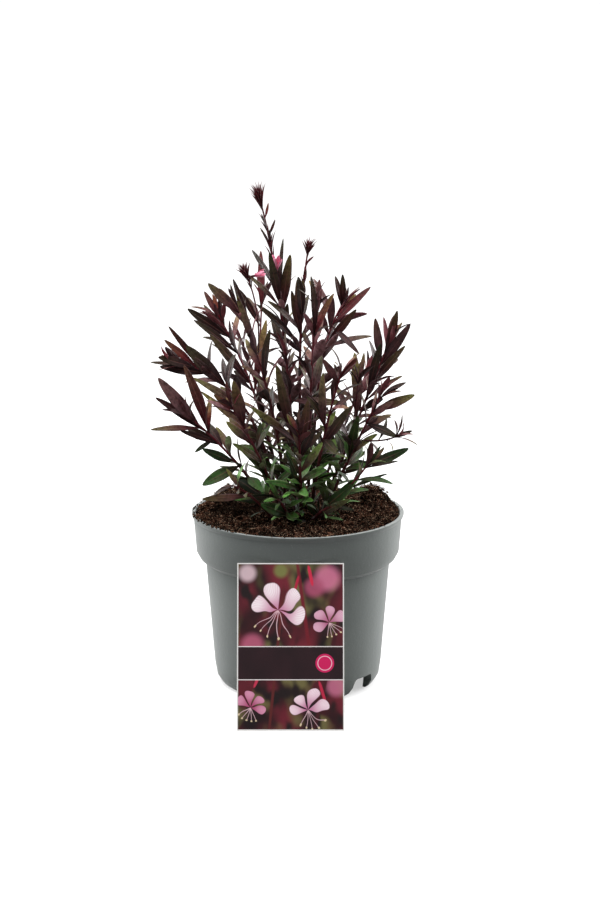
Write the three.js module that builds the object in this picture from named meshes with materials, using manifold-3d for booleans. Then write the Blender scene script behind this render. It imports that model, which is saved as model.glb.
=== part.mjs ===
// A potted gaura: dark-leaved stems, three heads of flower buds and two half-open flowers in a round
// nursery pot of peat, with a picture card that leans on the pot. Millimetres, +Z up.
// Everything is laid out round the pot's own axis, with the ground at z = 0 and the front towards -Y.
// The last lines move the whole group so that the middle of its underside is the origin.
import * as THREE from "three";
import { mergeVertices } from "three/addons/utils/BufferGeometryUtils.js";
import Module from "manifold-3d";

const wasm = await Module();
wasm.setup();

// Driving dimensions
const POT_HEIGHT = 141;
const LIP_RADIUS = 85.6;
const LIP_WIDTH = 3;
const LIP_DEPTH = 2.2;
const BAND_TOP_RADIUS = 83.9;
const BAND_TOP_Z = 137;
const BAND_LOW_RADIUS = 81.8;
const BAND_LOW_Z = 110;
const BODY_TOP_RADIUS = 74.3;
const BODY_TOP_Z = 101.5;
const BODY_LOW_RADIUS = 67.6;
const BODY_LOW_Z = 18;
const FOOT_RADIUS = 59.5;
const FOOT_WIDTH = 2.4;
const WALL = 1.7;
const FLOOR_Z = 15.5;
const FLOOR_THICKNESS = 1.8;
const POT_SIDES = 36;
const NOTCHES = 5;
const NOTCH_ANGLE = 53;
const NOTCH_WIDTH = 27;
const NOTCH_HEIGHT = 14;
const NOTCH_SHOULDER = 5;
const DRAIN_RADIUS = 4.5;
const DRAIN_RING_RADIUS = 44;
const DRAINS = 8;
const GAP = 0.3;

const SOIL_Z = 138.2;
const SOIL_CROWN_RISE = 4;
const CROWN_Y = 3;
const SOIL_EDGE_RISE = 2.2;
const SOIL_HEAP_RISE = 8.5;
const SOIL_BANK_RISE = 3.6;
const SOIL_DIP = 4;
const FOOT_DEPTH = 9;

const CARD_WIDTH = 83;
const CARD_LENGTH = 130;
const CARD_THICKNESS = 0.8;
const CARD_LEAN = 22.3;
const CARD_X = -5.5;

const STEM_FOOT_RADIUS = 1.7;
const STEM_TIP_RADIUS = 0.8;
const STEM_SIDES = 4;
const STEM_CHORD_ERROR = 0.35;
const BLADE_THICKNESS = 0.9;
const ROOT_THICKNESS = 1.3;
const RUFFLE = 0.07;
const PETIOLE_WIDTH = 1.7;
const LEAF_TURN = THREE.MathUtils.degToRad(137.5);
const TRIES = 12;
const CLEARANCE = 1.3;
const OWN_CLEARANCE = 0.2;
const RIM_WIDTH = 9;
const RIM_CLEARANCE = 3;
const BUD_RADIUS = 1.3;
const BUD_STEP = 4;
const PETALS = 4;
const PETAL_WIDTH = 0.46;
const CALYX_RADIUS = 0.9;
const CALYX_LENGTH = 5;

const up = new THREE.Vector3(0, 0, 1);
const point = (x, y, z) => new THREE.Vector3(x, y, z);
const degrees = THREE.MathUtils.degToRad;
const mix = THREE.MathUtils.lerp;

// Solids and joins

function solid(geometry) {
  const bare = geometry.clone();
  bare.deleteAttribute("normal");
  bare.deleteAttribute("uv");
  const merged = mergeVertices(bare, 1e-4);
  return new wasm.Manifold(
    new wasm.Mesh({
      numProp: 3,
      vertProperties: merged.attributes.position.array,
      triVerts: new Uint32Array(merged.index.array),
    }),
  );
}

function geometryOf(manifold) {
  const mesh = manifold.getMesh();
  const geometry = new THREE.BufferGeometry();
  geometry.setAttribute("position", new THREE.BufferAttribute(mesh.vertProperties, 3));
  geometry.setIndex(new THREE.BufferAttribute(mesh.triVerts, 1));
  geometry.computeVertexNormals();
  return geometry;
}

// A closed skin over rings that all have the same number of points, anticlockwise seen from the end.
// A ring may be a single point. Quads left of the middle split one way and the others the other way,
// so that both faces of a bent blade split alike.
function loft(rings, mirrored = false) {
  const positions = [];
  const faces = [];
  const starts = [];
  for (const ring of rings) {
    starts.push(positions.length / 3);
    for (const p of ring) positions.push(p.x, p.y, p.z);
  }
  const sides = Math.max(...rings.map((ring) => ring.length));
  for (let y = 0; y + 1 < rings.length; y++) {
    const low = starts[y];
    const high = starts[y + 1];
    for (let i = 0; i < sides; i++) {
      const j = (i + 1) % sides;
      if (rings[y].length === 1) faces.push(low, high + j, high + i);
      else if (rings[y + 1].length === 1) faces.push(low + i, low + j, high);
      else if (mirrored && i % 2 === 1) faces.push(low + i, low + j, high + i, low + j, high + j, high + i);
      else faces.push(low + i, low + j, high + j, low + i, high + j, high + i);
    }
  }
  const last = starts[rings.length - 1];
  if (rings[0].length > 1) for (let i = 1; i + 1 < sides; i++) faces.push(0, i + 1, i);
  if (rings.at(-1).length > 1) for (let i = 1; i + 1 < sides; i++) faces.push(last, last + i, last + i + 1);
  const geometry = new THREE.BufferGeometry();
  geometry.setAttribute("position", new THREE.Float32BufferAttribute(positions, 3));
  geometry.setIndex(faces);
  return solid(geometry);
}

function join(solids) {
  return solids.length === 1 ? solids[0] : wasm.Manifold.union(solids);
}

const root = new THREE.Group();

function addMesh(name, manifold, colour, roughness) {
  const material = new THREE.MeshStandardMaterial({ color: colour, roughness, metalness: 0 });
  const mesh = new THREE.Mesh(geometryOf(manifold), material);
  mesh.name = name;
  root.add(mesh);
}

// A seeded stream of numbers, so that the plant grows the same each time
class Dice {
  constructor(seed) {
    this.state = seed * 7919 + 17;
    for (let i = 0; i < 3; i++) this.between(0, 1);
  }
  between(low, high) {
    this.state = (Math.imul(this.state, 1664525) + 1013904223) >>> 0;
    return low + ((high - low) * this.state) / 4294967296;
  }
}

// Pot: a thin shell turned round the axis, with a rolled lip and a skirt under the raised floor

function potProfile() {
  const inner = FOOT_RADIUS - FOOT_WIDTH;
  const floorTop = FLOOR_Z + FLOOR_THICKNESS;
  const shape = [
    [0, FLOOR_Z],
    [inner + 2.6, FLOOR_Z],
    [inner, 0],
    [FOOT_RADIUS, 0],
    [FOOT_RADIUS + 3.2, 2.2],
    [BODY_LOW_RADIUS - 1.6, 7.5],
    [BODY_LOW_RADIUS, BODY_LOW_Z],
    [BODY_TOP_RADIUS, BODY_TOP_Z],
    [BODY_TOP_RADIUS + 5, BODY_TOP_Z + 3.7],
    [BAND_LOW_RADIUS, BAND_LOW_Z],
    [BAND_TOP_RADIUS, BAND_TOP_Z],
    [LIP_RADIUS - 0.4, POT_HEIGHT - LIP_DEPTH],
    [LIP_RADIUS, POT_HEIGHT - LIP_DEPTH / 2],
    [LIP_RADIUS, POT_HEIGHT],
    [LIP_RADIUS - LIP_WIDTH, POT_HEIGHT],
    [BAND_TOP_RADIUS - WALL, BAND_TOP_Z],
    [BAND_LOW_RADIUS - WALL, BAND_LOW_Z],
    [BODY_TOP_RADIUS - WALL, BODY_TOP_Z],
    [BODY_LOW_RADIUS - WALL, BODY_LOW_Z],
    [BODY_LOW_RADIUS - WALL - 1, floorTop],
    [0, floorTop],
  ];
  return shape.map(([r, z]) => new THREE.Vector2(r, z));
}

// The inside of the pot between two heights, drawn in by the gap that the soil keeps to it
function potInsideRadius(z) {
  const wall = [
    [BODY_LOW_RADIUS - 1, FLOOR_Z + FLOOR_THICKNESS],
    [BODY_LOW_RADIUS, BODY_LOW_Z],
    [BODY_TOP_RADIUS, BODY_TOP_Z],
    [BAND_LOW_RADIUS, BAND_LOW_Z],
    [BAND_TOP_RADIUS, BAND_TOP_Z],
    [LIP_RADIUS - LIP_WIDTH + WALL, POT_HEIGHT],
  ];
  const i = Math.max(0, wall.findIndex(([, top]) => z <= top) - 1);
  const [[r0, z0], [r1, z1]] = wall.slice(i, i + 2);
  return mix(r0, r1, (z - z0) / (z1 - z0)) - WALL - 2 * GAP;
}

function turned(profile) {
  return solid(new THREE.LatheGeometry(profile, POT_SIDES).rotateX(Math.PI / 2));
}

function pot() {
  let shell = turned(potProfile());
  const half = NOTCH_WIDTH / 2;
  const arch = new THREE.Shape();
  arch.moveTo(-half, -1);
  arch.lineTo(half, -1);
  arch.quadraticCurveTo(half - 1, NOTCH_HEIGHT, half - NOTCH_SHOULDER, NOTCH_HEIGHT);
  arch.lineTo(NOTCH_SHOULDER - half, NOTCH_HEIGHT);
  arch.quadraticCurveTo(1 - half, NOTCH_HEIGHT, -half, -1);
  const block = new THREE.ExtrudeGeometry(arch, { depth: 40, bevelEnabled: false, curveSegments: 4 });
  block.rotateX(Math.PI / 2).translate(0, -40, 0);
  for (let i = 0; i < NOTCHES; i++) {
    const notch = block.clone().rotateZ(degrees(NOTCH_ANGLE + (360 * i) / NOTCHES));
    shell = shell.subtract(solid(notch));
  }
  const drain = new THREE.CylinderGeometry(DRAIN_RADIUS, DRAIN_RADIUS, 12, 8).rotateX(Math.PI / 2);
  for (let i = 0; i < DRAINS; i++) {
    const angle = degrees((360 * (i + 0.5)) / DRAINS);
    const x = DRAIN_RING_RADIUS * Math.cos(angle);
    const y = DRAIN_RING_RADIUS * Math.sin(angle);
    shell = shell.subtract(solid(drain.clone().translate(x, y, FLOOR_Z)));
  }
  return shell;
}

// Soil: peat with a low crown in the middle, a heap behind on the right, and a dip behind on the left with a
// bank at the rim beyond it. It rises to the rim, more at the back than at the front.

function soilHeight(x, y) {
  const out = Math.hypot(x, y - CROWN_Y) / 80;
  const crown = SOIL_CROWN_RISE * Math.exp(-6 * out * out);
  const edge = (SOIL_EDGE_RISE + y / 90) * (Math.hypot(x, y) / 80) ** 6;
  const heap = SOIL_HEAP_RISE * Math.exp(-((x - 58) ** 2 + (y - 40) ** 2) / 340);
  const bank = SOIL_BANK_RISE * Math.exp(-((x + 56) ** 2 + (y - 55) ** 2) / 420);
  const dip = SOIL_DIP * Math.exp(-((x + 46) ** 2 + (y - 24) ** 2) / 380);
  const lumps = 0.8 * Math.sin(0.21 * x + 1.3) * Math.sin(0.25 * y + 0.4);
  const crumbs = 0.5 * Math.sin(0.43 * x - 0.31 * y);
  return SOIL_Z + crown + edge + heap + bank - dip + lumps + crumbs;
}

function soil(holes) {
  const bottom = FLOOR_Z + FLOOR_THICKNESS + GAP;
  const heights = [bottom, BODY_LOW_Z, BODY_TOP_Z, BAND_LOW_Z];
  const turn = (i) => (i / POT_SIDES) * 2 * Math.PI;
  const ring = (radius, height) =>
    Array.from({ length: POT_SIDES }, (_, i) => {
      const x = radius * Math.sin(turn(i));
      const y = radius * Math.cos(turn(i));
      return point(x, y, height ?? soilHeight(x, y));
    }).reverse();
  const rings = heights.map((z) => ring(potInsideRadius(z), z));
  const edge = potInsideRadius(SOIL_Z - 2);
  for (const share of [1, 0.86, 0.68, 0.48, 0.26]) rings.push(ring(edge * share));
  rings.push([point(0, 0, soilHeight(0, 0))]);
  rings.unshift([point(0, 0, bottom)]);
  let peat = loft(rings);
  for (const hole of holes) peat = peat.subtract(hole);
  return peat;
}

// Label card: a flat printed card whose lower edge stands on the ground and whose face leans back

function labelCard() {
  const card = new THREE.BoxGeometry(CARD_WIDTH, CARD_THICKNESS, CARD_LENGTH);
  card.translate(0, -CARD_THICKNESS / 2, CARD_LENGTH / 2);
  card.rotateX(-degrees(CARD_LEAN));
  const lean = degrees(CARD_LEAN);
  const lift = CARD_THICKNESS * Math.sin(lean);
  const topZ = lift + CARD_LENGTH * Math.cos(lean);
  const band = mix(BAND_LOW_RADIUS, BAND_TOP_RADIUS, (topZ - BAND_LOW_Z) / (BAND_TOP_Z - BAND_LOW_Z));
  const topY = CARD_LENGTH * Math.sin(lean);
  return solid(card.translate(CARD_X, -band - GAP - topY, lift));
}

// Stems. Each has the place of its foot on the soil, the point that its curve leans towards and its tip,
// then the shares of its length between which leaves stand round it, how many, and the longest leaf's
// length. A head is a tuft of buds: how many, how long each is and how far the tuft opens, in radians.
// The set leaves give the plant its outline: each has the share of the stem's length where it starts,
// its tip x, y and z, and its width. A side shoot starts at a share of the stem that carries it.
const STEMS = {
  stem_spike_tall: {
    foot: [-3, 11],
    pull: [-6, 8, 300],
    tip: [-29, 2, 391],
    bare: 0.1,
    reach: 0.6,
    leaves: 14,
    long: 42,
    head: { buds: 12, long: 15, open: 0.3 },
    set: [
      [0.65, -37, 4, 354, 7],
      [0.61, -27, -10, 356, 8],
      [0.63, -10, 1, 361, 5],
      [0.57, -6, 8, 350, 10],
      [0.6, -42, -4, 336, 6],
      [0.88, -29, -1, 383, 2.8],
      [0.93, -23, 4, 391, 2.8],
      [0.86, -19, 0, 378, 2.8],
      [0.82, -30, 0, 372, 3],
      [0.83, -22, -3, 371, 2.6],
    ],
  },
  stem_spike_right: {
    foot: [5, 15],
    pull: [-3, 10, 280],
    tip: [8, 6, 352],
    bare: 0.1,
    reach: 0.7,
    leaves: 13,
    long: 42,
    head: { buds: 9, long: 10, open: 0.55 },
    set: [
      [0.68, 0, -4, 334, 9],
      [0.76, 4, 0, 330, 6],
      [0.82, 6, 8, 341, 4],
      [0.62, -25, -8, 315, 7],
      [0.56, -34, -10, 313, 8],
      [0.6, -11, -2, 326, 7],
      [0.64, -4, 3, 331, 9],
      [0.93, 13, 4, 348, 2.6],
    ],
  },
  stem_top_right: {
    foot: [9, 6],
    pull: [8, -11, 241],
    tip: [15, -26, 317],
    bare: 0.15,
    leaves: 12,
    long: 40,
    set: [
      [0.82, 10, -33, 340, 7],
      [0.9, 17, -28, 336, 7],
      [0.8, 29, -35, 326, 9],
    ],
  },
  stem_right_high: {
    foot: [14, 13],
    pull: [8, 36, 265],
    tip: [38, 46, 304],
    bare: 0.2,
    leaves: 9,
    long: 40,
    set: [
      [0.82, 12, 45, 324, 8],
      [0.95, 30, 50, 325, 6],
      [0.97, 36, 47, 326, 6],
      [0.8, 60, 46, 317, 8],
      [0.68, 48, 33, 301, 8],
      [0.8, 51, 14, 265, 6],
      [0.66, 61, 28, 279, 7],
    ],
  },
  stem_right: {
    foot: [16, 3],
    pull: [43, 0, 205],
    tip: [75, -4, 286],
    bare: 0.2,
    leaves: 11,
    long: 42,
    set: [
      [0.9, 79, -4, 307, 8],
      [0.84, 90, -2, 296, 9],
      [0.88, 84, 8, 295, 6],
      [0.86, 61, -10, 302, 8],
      [0.74, 86, -12, 280, 8],
      [0.66, 84, -16, 256, 8],
      [0.7, 66, -16, 283, 8],
      [0.55, 50, -14, 268, 9],
      [0.6, 38, -16, 265, 10],
    ],
    sides: [{ at: 0.5, pull: [46, -12, 232], tip: [48, -20, 252], leaves: 5, long: 34 }],
  },
  stem_right_low: {
    foot: [17, -6],
    pull: [43, -18, 195],
    tip: [66, -34, 245],
    bare: 0.2,
    leaves: 8,
    long: 36,
    set: [
      [0.85, 93, -36, 245, 9],
      [0.95, 86, -28, 253, 7],
      [0.5, 64, -26, 211, 8],
      [0.8, 76, -38, 240, 7],
      [0.75, 79, -40, 211, 8],
      [0.45, 48, -32, 228, 9],
    ],
    sides: [{ at: 0.62, pull: [66, -30, 204], tip: [78, -40, 212], leaves: 4, long: 24 }],
  },
  stem_right_front: {
    foot: [12, -13],
    pull: [34, -40, 162],
    tip: [56, -48, 192],
    bare: 0.15,
    leaves: 7,
    long: 28,
    set: [
      [0.97, 88, -50, 205, 9],
      [0.93, 80, -44, 193, 4],
      [0.6, 72, -44, 183, 5],
      [0.35, 46, -44, 179, 9],
    ],
  },
  stem_front: {
    foot: [3, -12],
    pull: [2, -36, 182],
    tip: [1, -56, 220],
    bare: 0.08,
    leaves: 10,
    long: 34,
    set: [
      [0.72, -9, -60, 235, 8],
      [0.8, 6, -60, 246, 9],
      [0.68, 12, -58, 227, 7],
      [0.35, -27, -54, 179, 7],
      [0.2, -10, -42, 201, 6],
    ],
  },
  stem_left_top: {
    foot: [-10, 11],
    pull: [-28, 26, 236],
    tip: [-64, 38, 293],
    bare: 0.25,
    leaves: 11,
    long: 42,
    set: [
      [0.86, -90, 40, 300, 9],
      [0.76, -85, 33, 292, 7],
      [0.84, -77, 48, 302, 6],
      [0.55, -25, 40, 292, 9],
      [0.98, -76, 46, 313, 6],
      [0.95, -69, 40, 312, 5],
      [0.6, -72, 28, 282, 9],
      [0.65, -71, 36, 272, 4],
    ],
    sides: [
      {
        at: 0.5,
        pull: [-31, 41, 268],
        tip: [-29, 54, 306],
        leaves: 5,
        long: 38,
        set: [
          [0.85, -30, 59, 345, 7],
          [0.7, -48, 52, 314, 6],
        ],
      },
    ],
  },
  stem_spike_left: {
    foot: [-8, 4],
    pull: [-16, -12, 242],
    tip: [-47, -27, 314],
    bare: 0.15,
    leaves: 11,
    long: 42,
    set: [
      [0.95, -71, -19, 331, 9],
      [0.88, -63, -25, 325, 8],
      [0.85, -51, -30, 337, 7],
      [0.75, -48, -34, 325, 7],
      [0.6, -21, -34, 298, 8],
    ],
    sides: [
      {
        at: 0.72,
        pull: [-28, -26, 310],
        tip: [-40, -31, 339],
        leaves: 0,
        head: { buds: 9, long: 10, open: 0.55 },
      },
    ],
  },
  stem_left: {
    foot: [-15, 5],
    pull: [-26, -2, 248],
    tip: [-94, -12, 265],
    bare: 0.22,
    leaves: 10,
    long: 42,
    set: [
      [0.82, -103, -12, 296, 6],
      [0.88, -106, -8, 284, 7],
      [0.9, -112, -14, 270, 9],
      [0.94, -118, -8, 265, 4],
      [0.68, -89, -16, 281, 13],
      [0.78, -82, -22, 272, 6],
      [0.35, -78, -24, 246, 7],
      [0.5, -84, -22, 256, 8],
      [0.82, -108, -18, 267, 9],
    ],
  },
  stem_left_low: {
    foot: [-16, -4],
    pull: [-42, -20, 186],
    tip: [-86, -38, 228],
    bare: 0.3,
    leaves: 6,
    long: 40,
    set: [
      [0.9, -110, -44, 261, 12],
      [0.8, -90, -36, 270, 11],
      [0.87, -117, -44, 218, 6],
      [0.72, -93, -42, 216, 6],
      [0.82, -113, -40, 244, 8],
      [0.76, -82, -34, 197, 5],
      [0.5, -76, -46, 173, 12],
      [0.4, -29, -42, 168, 11],
    ],
  },
  stem_left_inner: {
    foot: [-9, -10],
    pull: [-26, -34, 191],
    tip: [-52, -58, 241],
    bare: 0.15,
    leaves: 9,
    long: 34,
    set: [
      [0.95, -66, -62, 251, 6],
      [0.9, -72, -58, 245, 6],
      [0.8, -50, -64, 263, 11],
      [0.5, -52, -58, 211, 7],
      [0.3, -52, -62, 204, 8],
    ],
  },
  stem_left_front: {
    foot: [-15, -14],
    pull: [-34, -34, 164],
    tip: [-52, -46, 174],
    bare: 0.2,
    leaves: 6,
    long: 26,
    low: true,
    set: [[0.6, -77, -40, 161, 7]],
  },
  stem_front_right: {
    foot: [7, -20],
    pull: [18, -36, 154],
    tip: [32, -48, 158],
    bare: 0.15,
    leaves: 8,
    long: 30,
    low: true,
    set: [
      [0.5, 45, -46, 176, 9],
      [0.3, 42, -58, 166, 7],
    ],
  },
  stem_front_left: {
    foot: [-5, -20],
    pull: [-10, -34, 156],
    tip: [-17, -46, 163],
    bare: 0.15,
    leaves: 8,
    long: 30,
    low: true,
    set: [[0.3, -30, -48, 159, 12]],
  },
  stem_back: {
    foot: [0, 22],
    pull: [4, 46, 200],
    tip: [18, 92, 254],
    bare: 0.2,
    leaves: 6,
    long: 42,
  },
  stem_back_left: {
    foot: [-11, 20],
    pull: [-24, 44, 206],
    tip: [-46, 84, 264],
    bare: 0.2,
    leaves: 5,
    long: 42,
  },
  stem_back_right: {
    foot: [13, 22],
    pull: [32, 46, 190],
    tip: [58, 74, 242],
    bare: 0.2,
    leaves: 6,
    long: 42,
  },
  stem_middle_left: {
    foot: [-2, -3],
    pull: [-3, -16, 210],
    tip: [-9, -24, 272],
    bare: 0.12,
    leaves: 9,
    long: 38,
    set: [
      [0.72, 36, -36, 235, 8],
      [0.5, -38, -30, 234, 7],
      [0.5, -17, -34, 270, 10],
    ],
  },
  stem_middle_right: {
    foot: [9, -5],
    pull: [17, -28, 203],
    tip: [34, -48, 265],
    bare: 0.15,
    leaves: 10,
    long: 40,
    set: [
      [0.93, 19, -52, 277, 7],
      [0.55, 31, -58, 202, 9],
      [0.5, 43, -54, 241, 9],
      [0.6, 20, -54, 268, 8],
    ],
  },
};

const MAUVE = 0x5c3a45;
const GREEN = 0x3c5a2c;
const PINK = 0xd9799b;

class Curve {
  constructor(start, pull, tip) {
    Object.assign(this, { start, pull, tip });
  }
  at(t) {
    const s = 1 - t;
    return this.start
      .clone()
      .multiplyScalar(s * s)
      .addScaledVector(this.pull, 2 * s * t)
      .addScaledVector(this.tip, t * t);
  }
  along(t) {
    return this.pull
      .clone()
      .sub(this.start)
      .multiplyScalar(1 - t)
      .addScaledVector(this.tip.clone().sub(this.pull), t)
      .normalize();
  }
  length() {
    let total = 0;
    for (let i = 0; i < 16; i++) total += this.at(i / 16).distanceTo(this.at((i + 1) / 16));
    return total;
  }
}

// Two directions square to a stem, the same way round all along it
function acrossOf(along) {
  const first = along.clone().cross(point(0, 1, 0)).normalize();
  const second = along.clone().cross(first);
  return [first, second];
}

function stemRadius(shoot, t) {
  return mix(shoot.thick, STEM_TIP_RADIUS, t);
}

// A ring of points round a centre, square to a direction
function ringRound(centre, along, radius, sides) {
  const [first, second] = acrossOf(along);
  return Array.from({ length: sides }, (_, k) => {
    const angle = (2 * Math.PI * k) / sides;
    const p = centre.clone().addScaledVector(first, radius * Math.cos(angle));
    return p.addScaledVector(second, radius * Math.sin(angle));
  });
}

// The stem itself, or with a margin the plain hole that it stands in
function stemSolid(shoot, margin = 0) {
  const { curve } = shoot;
  const turning = curve.along(0).angleTo(curve.along(1));
  const steps = Math.max(3, Math.ceil(Math.sqrt((curve.length() * turning) / 8 / STEM_CHORD_ERROR)));
  const rings = [];
  for (let i = 0; i <= steps; i++) {
    const t = i / steps;
    const centre = curve.at(t);
    if (i === 0) centre.addScaledVector(curve.along(0), -margin);
    const radius = stemRadius(shoot, t) + margin * Math.SQRT2;
    rings.push(ringRound(centre, curve.along(t), radius, STEM_SIDES));
  }
  rings.push([curve.at(1).addScaledVector(curve.along(1), STEM_TIP_RADIUS + margin)]);
  return loft(rings);
}

// A leaf is an arched blade: its midrib leaves the stem along `along`, bends back from its upper face
// `face` by `curl` radians, and the blade folds up a little on both sides of it.
class Blade {
  constructor(start, along, face, length, width, curl, roll, fold, wave) {
    Object.assign(this, { start, length, width, curl, fold, wave });
    this.along = along.clone().normalize();
    this.face = face.clone().addScaledVector(this.along, -face.dot(this.along)).normalize();
    const side = this.along.clone().cross(this.face);
    this.face.multiplyScalar(Math.cos(roll)).addScaledVector(side, Math.sin(roll));
    this.side = this.along.clone().cross(this.face);
  }
  // The midrib's point and the directions along and up from the blade there
  rib(u) {
    const angle = this.curl * u;
    const forward = this.length * (Math.sin(angle) / this.curl);
    const back = this.length * ((1 - Math.cos(angle)) / this.curl);
    const at = this.start.clone().addScaledVector(this.along, forward).addScaledVector(this.face, -back);
    const normal = this.face.clone().multiplyScalar(Math.cos(angle));
    normal.addScaledVector(this.along, Math.sin(angle));
    return { at, normal };
  }
  halfWidth(u) {
    const outline = (u / 0.55) * ((1 - u) / 0.45) ** 0.82;
    return Math.max(PETIOLE_WIDTH / 2, (this.width / 2) * outline);
  }
  // Flat discs that together cover the blade, for keeping blades apart
  discs() {
    const count = Math.ceil(this.length / 7);
    const list = [];
    for (let i = 0; i <= count; i++) {
      const u = Math.min(0.98, (i + 0.5) / (count + 0.5));
      const { at, normal } = this.rib(u);
      list.push({ at, normal, radius: Math.hypot(this.halfWidth(u), 3), u });
    }
    return list;
  }
  solid() {
    const stations = this.length > 25 ? [0.17, 0.46, 0.76] : [0.2, 0.6];
    const rings = stations.map((u, i) => {
      const { at, normal } = this.rib(u);
      const half = this.halfWidth(u) * (i % 2 === 0 ? 1 - RUFFLE : 1 + RUFFLE);
      const raise = this.fold * half;
      const sway = this.wave * half * (i % 2 === 0 ? 1 : -1);
      const thick = (i === 0 ? ROOT_THICKNESS : BLADE_THICKNESS) / 2;
      const left = at.clone().addScaledVector(this.side, -half).addScaledVector(normal, raise + sway);
      const right = at.clone().addScaledVector(this.side, half).addScaledVector(normal, raise - sway);
      const top = at.clone().addScaledVector(normal, thick);
      const under = at.clone().addScaledVector(normal, -thick);
      return [left, top, right, under];
    });
    rings.unshift([this.start]);
    rings.push([this.rib(1).at]);
    return loft(rings, true);
  }
}

// Whether two flat discs, or balls where the normal is zero, stay apart by the clearance
function apart(a, b, clearance) {
  const between = b.at.clone().sub(a.at);
  if (between.length() > a.radius + b.radius + clearance) return true;
  const cosine = a.normal.dot(b.normal);
  const tilt = Math.sqrt(Math.max(0, 1 - cosine * cosine));
  if (Math.abs(between.dot(a.normal)) > b.radius * tilt + clearance) return true;
  return Math.abs(between.dot(b.normal)) > a.radius * tilt + clearance;
}

// Everything that has its place already, as lists of discs with the stem that owns them
const placed = [];

function place(owner, kind, discs) {
  const centre = discs.reduce((sum, d) => sum.add(d.at), point(0, 0, 0)).divideScalar(discs.length);
  const reach = Math.max(...discs.map((d) => d.at.distanceTo(centre) + d.radius));
  placed.push({ owner, kind, discs, centre, reach });
}

function isClear(owner, discs) {
  for (const d of discs) {
    if (d.u < 0.2) continue;
    const tilt = Math.sqrt(Math.max(0, 1 - d.normal.z * d.normal.z));
    const low = d.at.z - d.radius * tilt;
    const out = Math.hypot(d.at.x, d.at.y);
    if (low < soilHeight(d.at.x, d.at.y) + CLEARANCE && out < LIP_RADIUS) return false;
    if (out + d.radius > LIP_RADIUS - RIM_WIDTH && low < POT_HEIGHT + RIM_CLEARANCE) return false;
  }
  const centre = discs.reduce((sum, d) => sum.add(d.at), point(0, 0, 0)).divideScalar(discs.length);
  const reach = Math.max(...discs.map((d) => d.at.distanceTo(centre) + d.radius));
  for (const other of placed) {
    const own = other.owner === owner;
    if (own && other.kind === "stem") continue;
    if (other.centre.distanceTo(centre) > other.reach + reach + CLEARANCE) continue;
    const clearance = own ? OWN_CLEARANCE : CLEARANCE;
    for (const a of discs) {
      if (own && a.u < 0.3) continue;
      for (const b of other.discs) {
        if (own && b.u < 0.3) continue;
        if (!apart(a, b, clearance)) return false;
      }
    }
  }
  return true;
}

const shoots = [];

function addShoot(owner, seed, curve, plan, thick) {
  const shoot = { owner, seed, curve, plan, thick, blades: [] };
  shoots.push(shoot);
  const steps = Math.ceil(curve.length() / 5);
  const discs = [];
  for (let i = 0; i <= steps; i++) {
    const radius = Math.hypot(stemRadius(shoot, i / steps) + GAP, 2.5) - 1;
    discs.push({ at: curve.at(i / steps), normal: point(0, 0, 0), radius, u: 1 });
  }
  for (let i = 0; i < discs.length; i += 6) place(owner, "stem", discs.slice(i, i + 7));
  (plan.sides ?? []).forEach((side, i) => {
    const branch = new Curve(curve.at(side.at), point(...side.pull), point(...side.tip));
    addShoot(owner, seed + 101 + i, branch, side, stemRadius(shoot, side.at) * 0.8);
  });
}

Object.entries(STEMS).forEach(([name, plan], i) => {
  const [x, y] = plan.foot;
  const foot = point(x, y, soilHeight(x, y) - FOOT_DEPTH + GAP);
  addShoot(name, i + 1, new Curve(foot, point(...plan.pull), point(...plan.tip)), plan, STEM_FOOT_RADIUS);
});

// Flowers, half open: four petals on a slim calyx tube that ends just clear of the shoot that bears it.
// Each has its stem and shoot, the share of its length, the way it points and the petals' length.
const FLOWERS = {
  flower_upper: { stem: "stem_spike_tall", shoot: 0, at: 0.72, heading: [0.04, -0.55, 0.83], petal: 14 },
  flower_lower: { stem: "stem_spike_left", shoot: 1, at: 0.96, heading: [0.93, -0.2, 0.3], petal: 9 },
};

function layFlower(plan) {
  const shoot = shoots.filter(({ owner }) => owner === plan.stem)[plan.shoot];
  const along = point(...plan.heading).normalize();
  const stem = shoot.curve.along(plan.at);
  const outward = along.clone().addScaledVector(stem, -along.dot(stem)).normalize();
  const seat = stemRadius(shoot, plan.at) + GAP + CALYX_RADIUS * Math.abs(along.dot(stem));
  const start = shoot.curve.at(plan.at).addScaledVector(outward, seat);
  const mouth = start.clone().addScaledVector(along, CALYX_LENGTH);
  const [first, second] = acrossOf(along);
  const petals = Array.from({ length: PETALS }, (_, i) => {
    const turn = (i + 0.5) * (Math.PI / 2) + 0.2 * (i % 2);
    const open = 0.32 + 0.16 * (i % 2);
    const side = first.clone().multiplyScalar(Math.cos(turn)).addScaledVector(second, Math.sin(turn));
    const lead = along.clone().multiplyScalar(Math.cos(open)).addScaledVector(side, Math.sin(open));
    const root = mouth.clone().addScaledVector(side, CALYX_RADIUS * 0.7);
    return new Blade(root, lead, along, plan.petal, plan.petal * PETAL_WIDTH, -0.4, 0, 0.2, 0.05);
  });
  return { along, start, mouth, petals };
}

function flowerSolid({ along, start, mouth, petals }) {
  const calyx = loft([
    ringRound(start, along, CALYX_RADIUS, 5),
    ringRound(mouth, along, CALYX_RADIUS * 1.4, 5),
    [mouth.clone().addScaledVector(along, 1.5)],
  ]);
  return join([calyx, ...petals.map((blade) => blade.solid())]);
}

const flowers = Object.entries(FLOWERS).map(([name, plan]) => ({ name, ...layFlower(plan) }));
for (const { name, petals } of flowers) {
  for (const blade of petals) place(name, "leaf", blade.discs());
}

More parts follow.
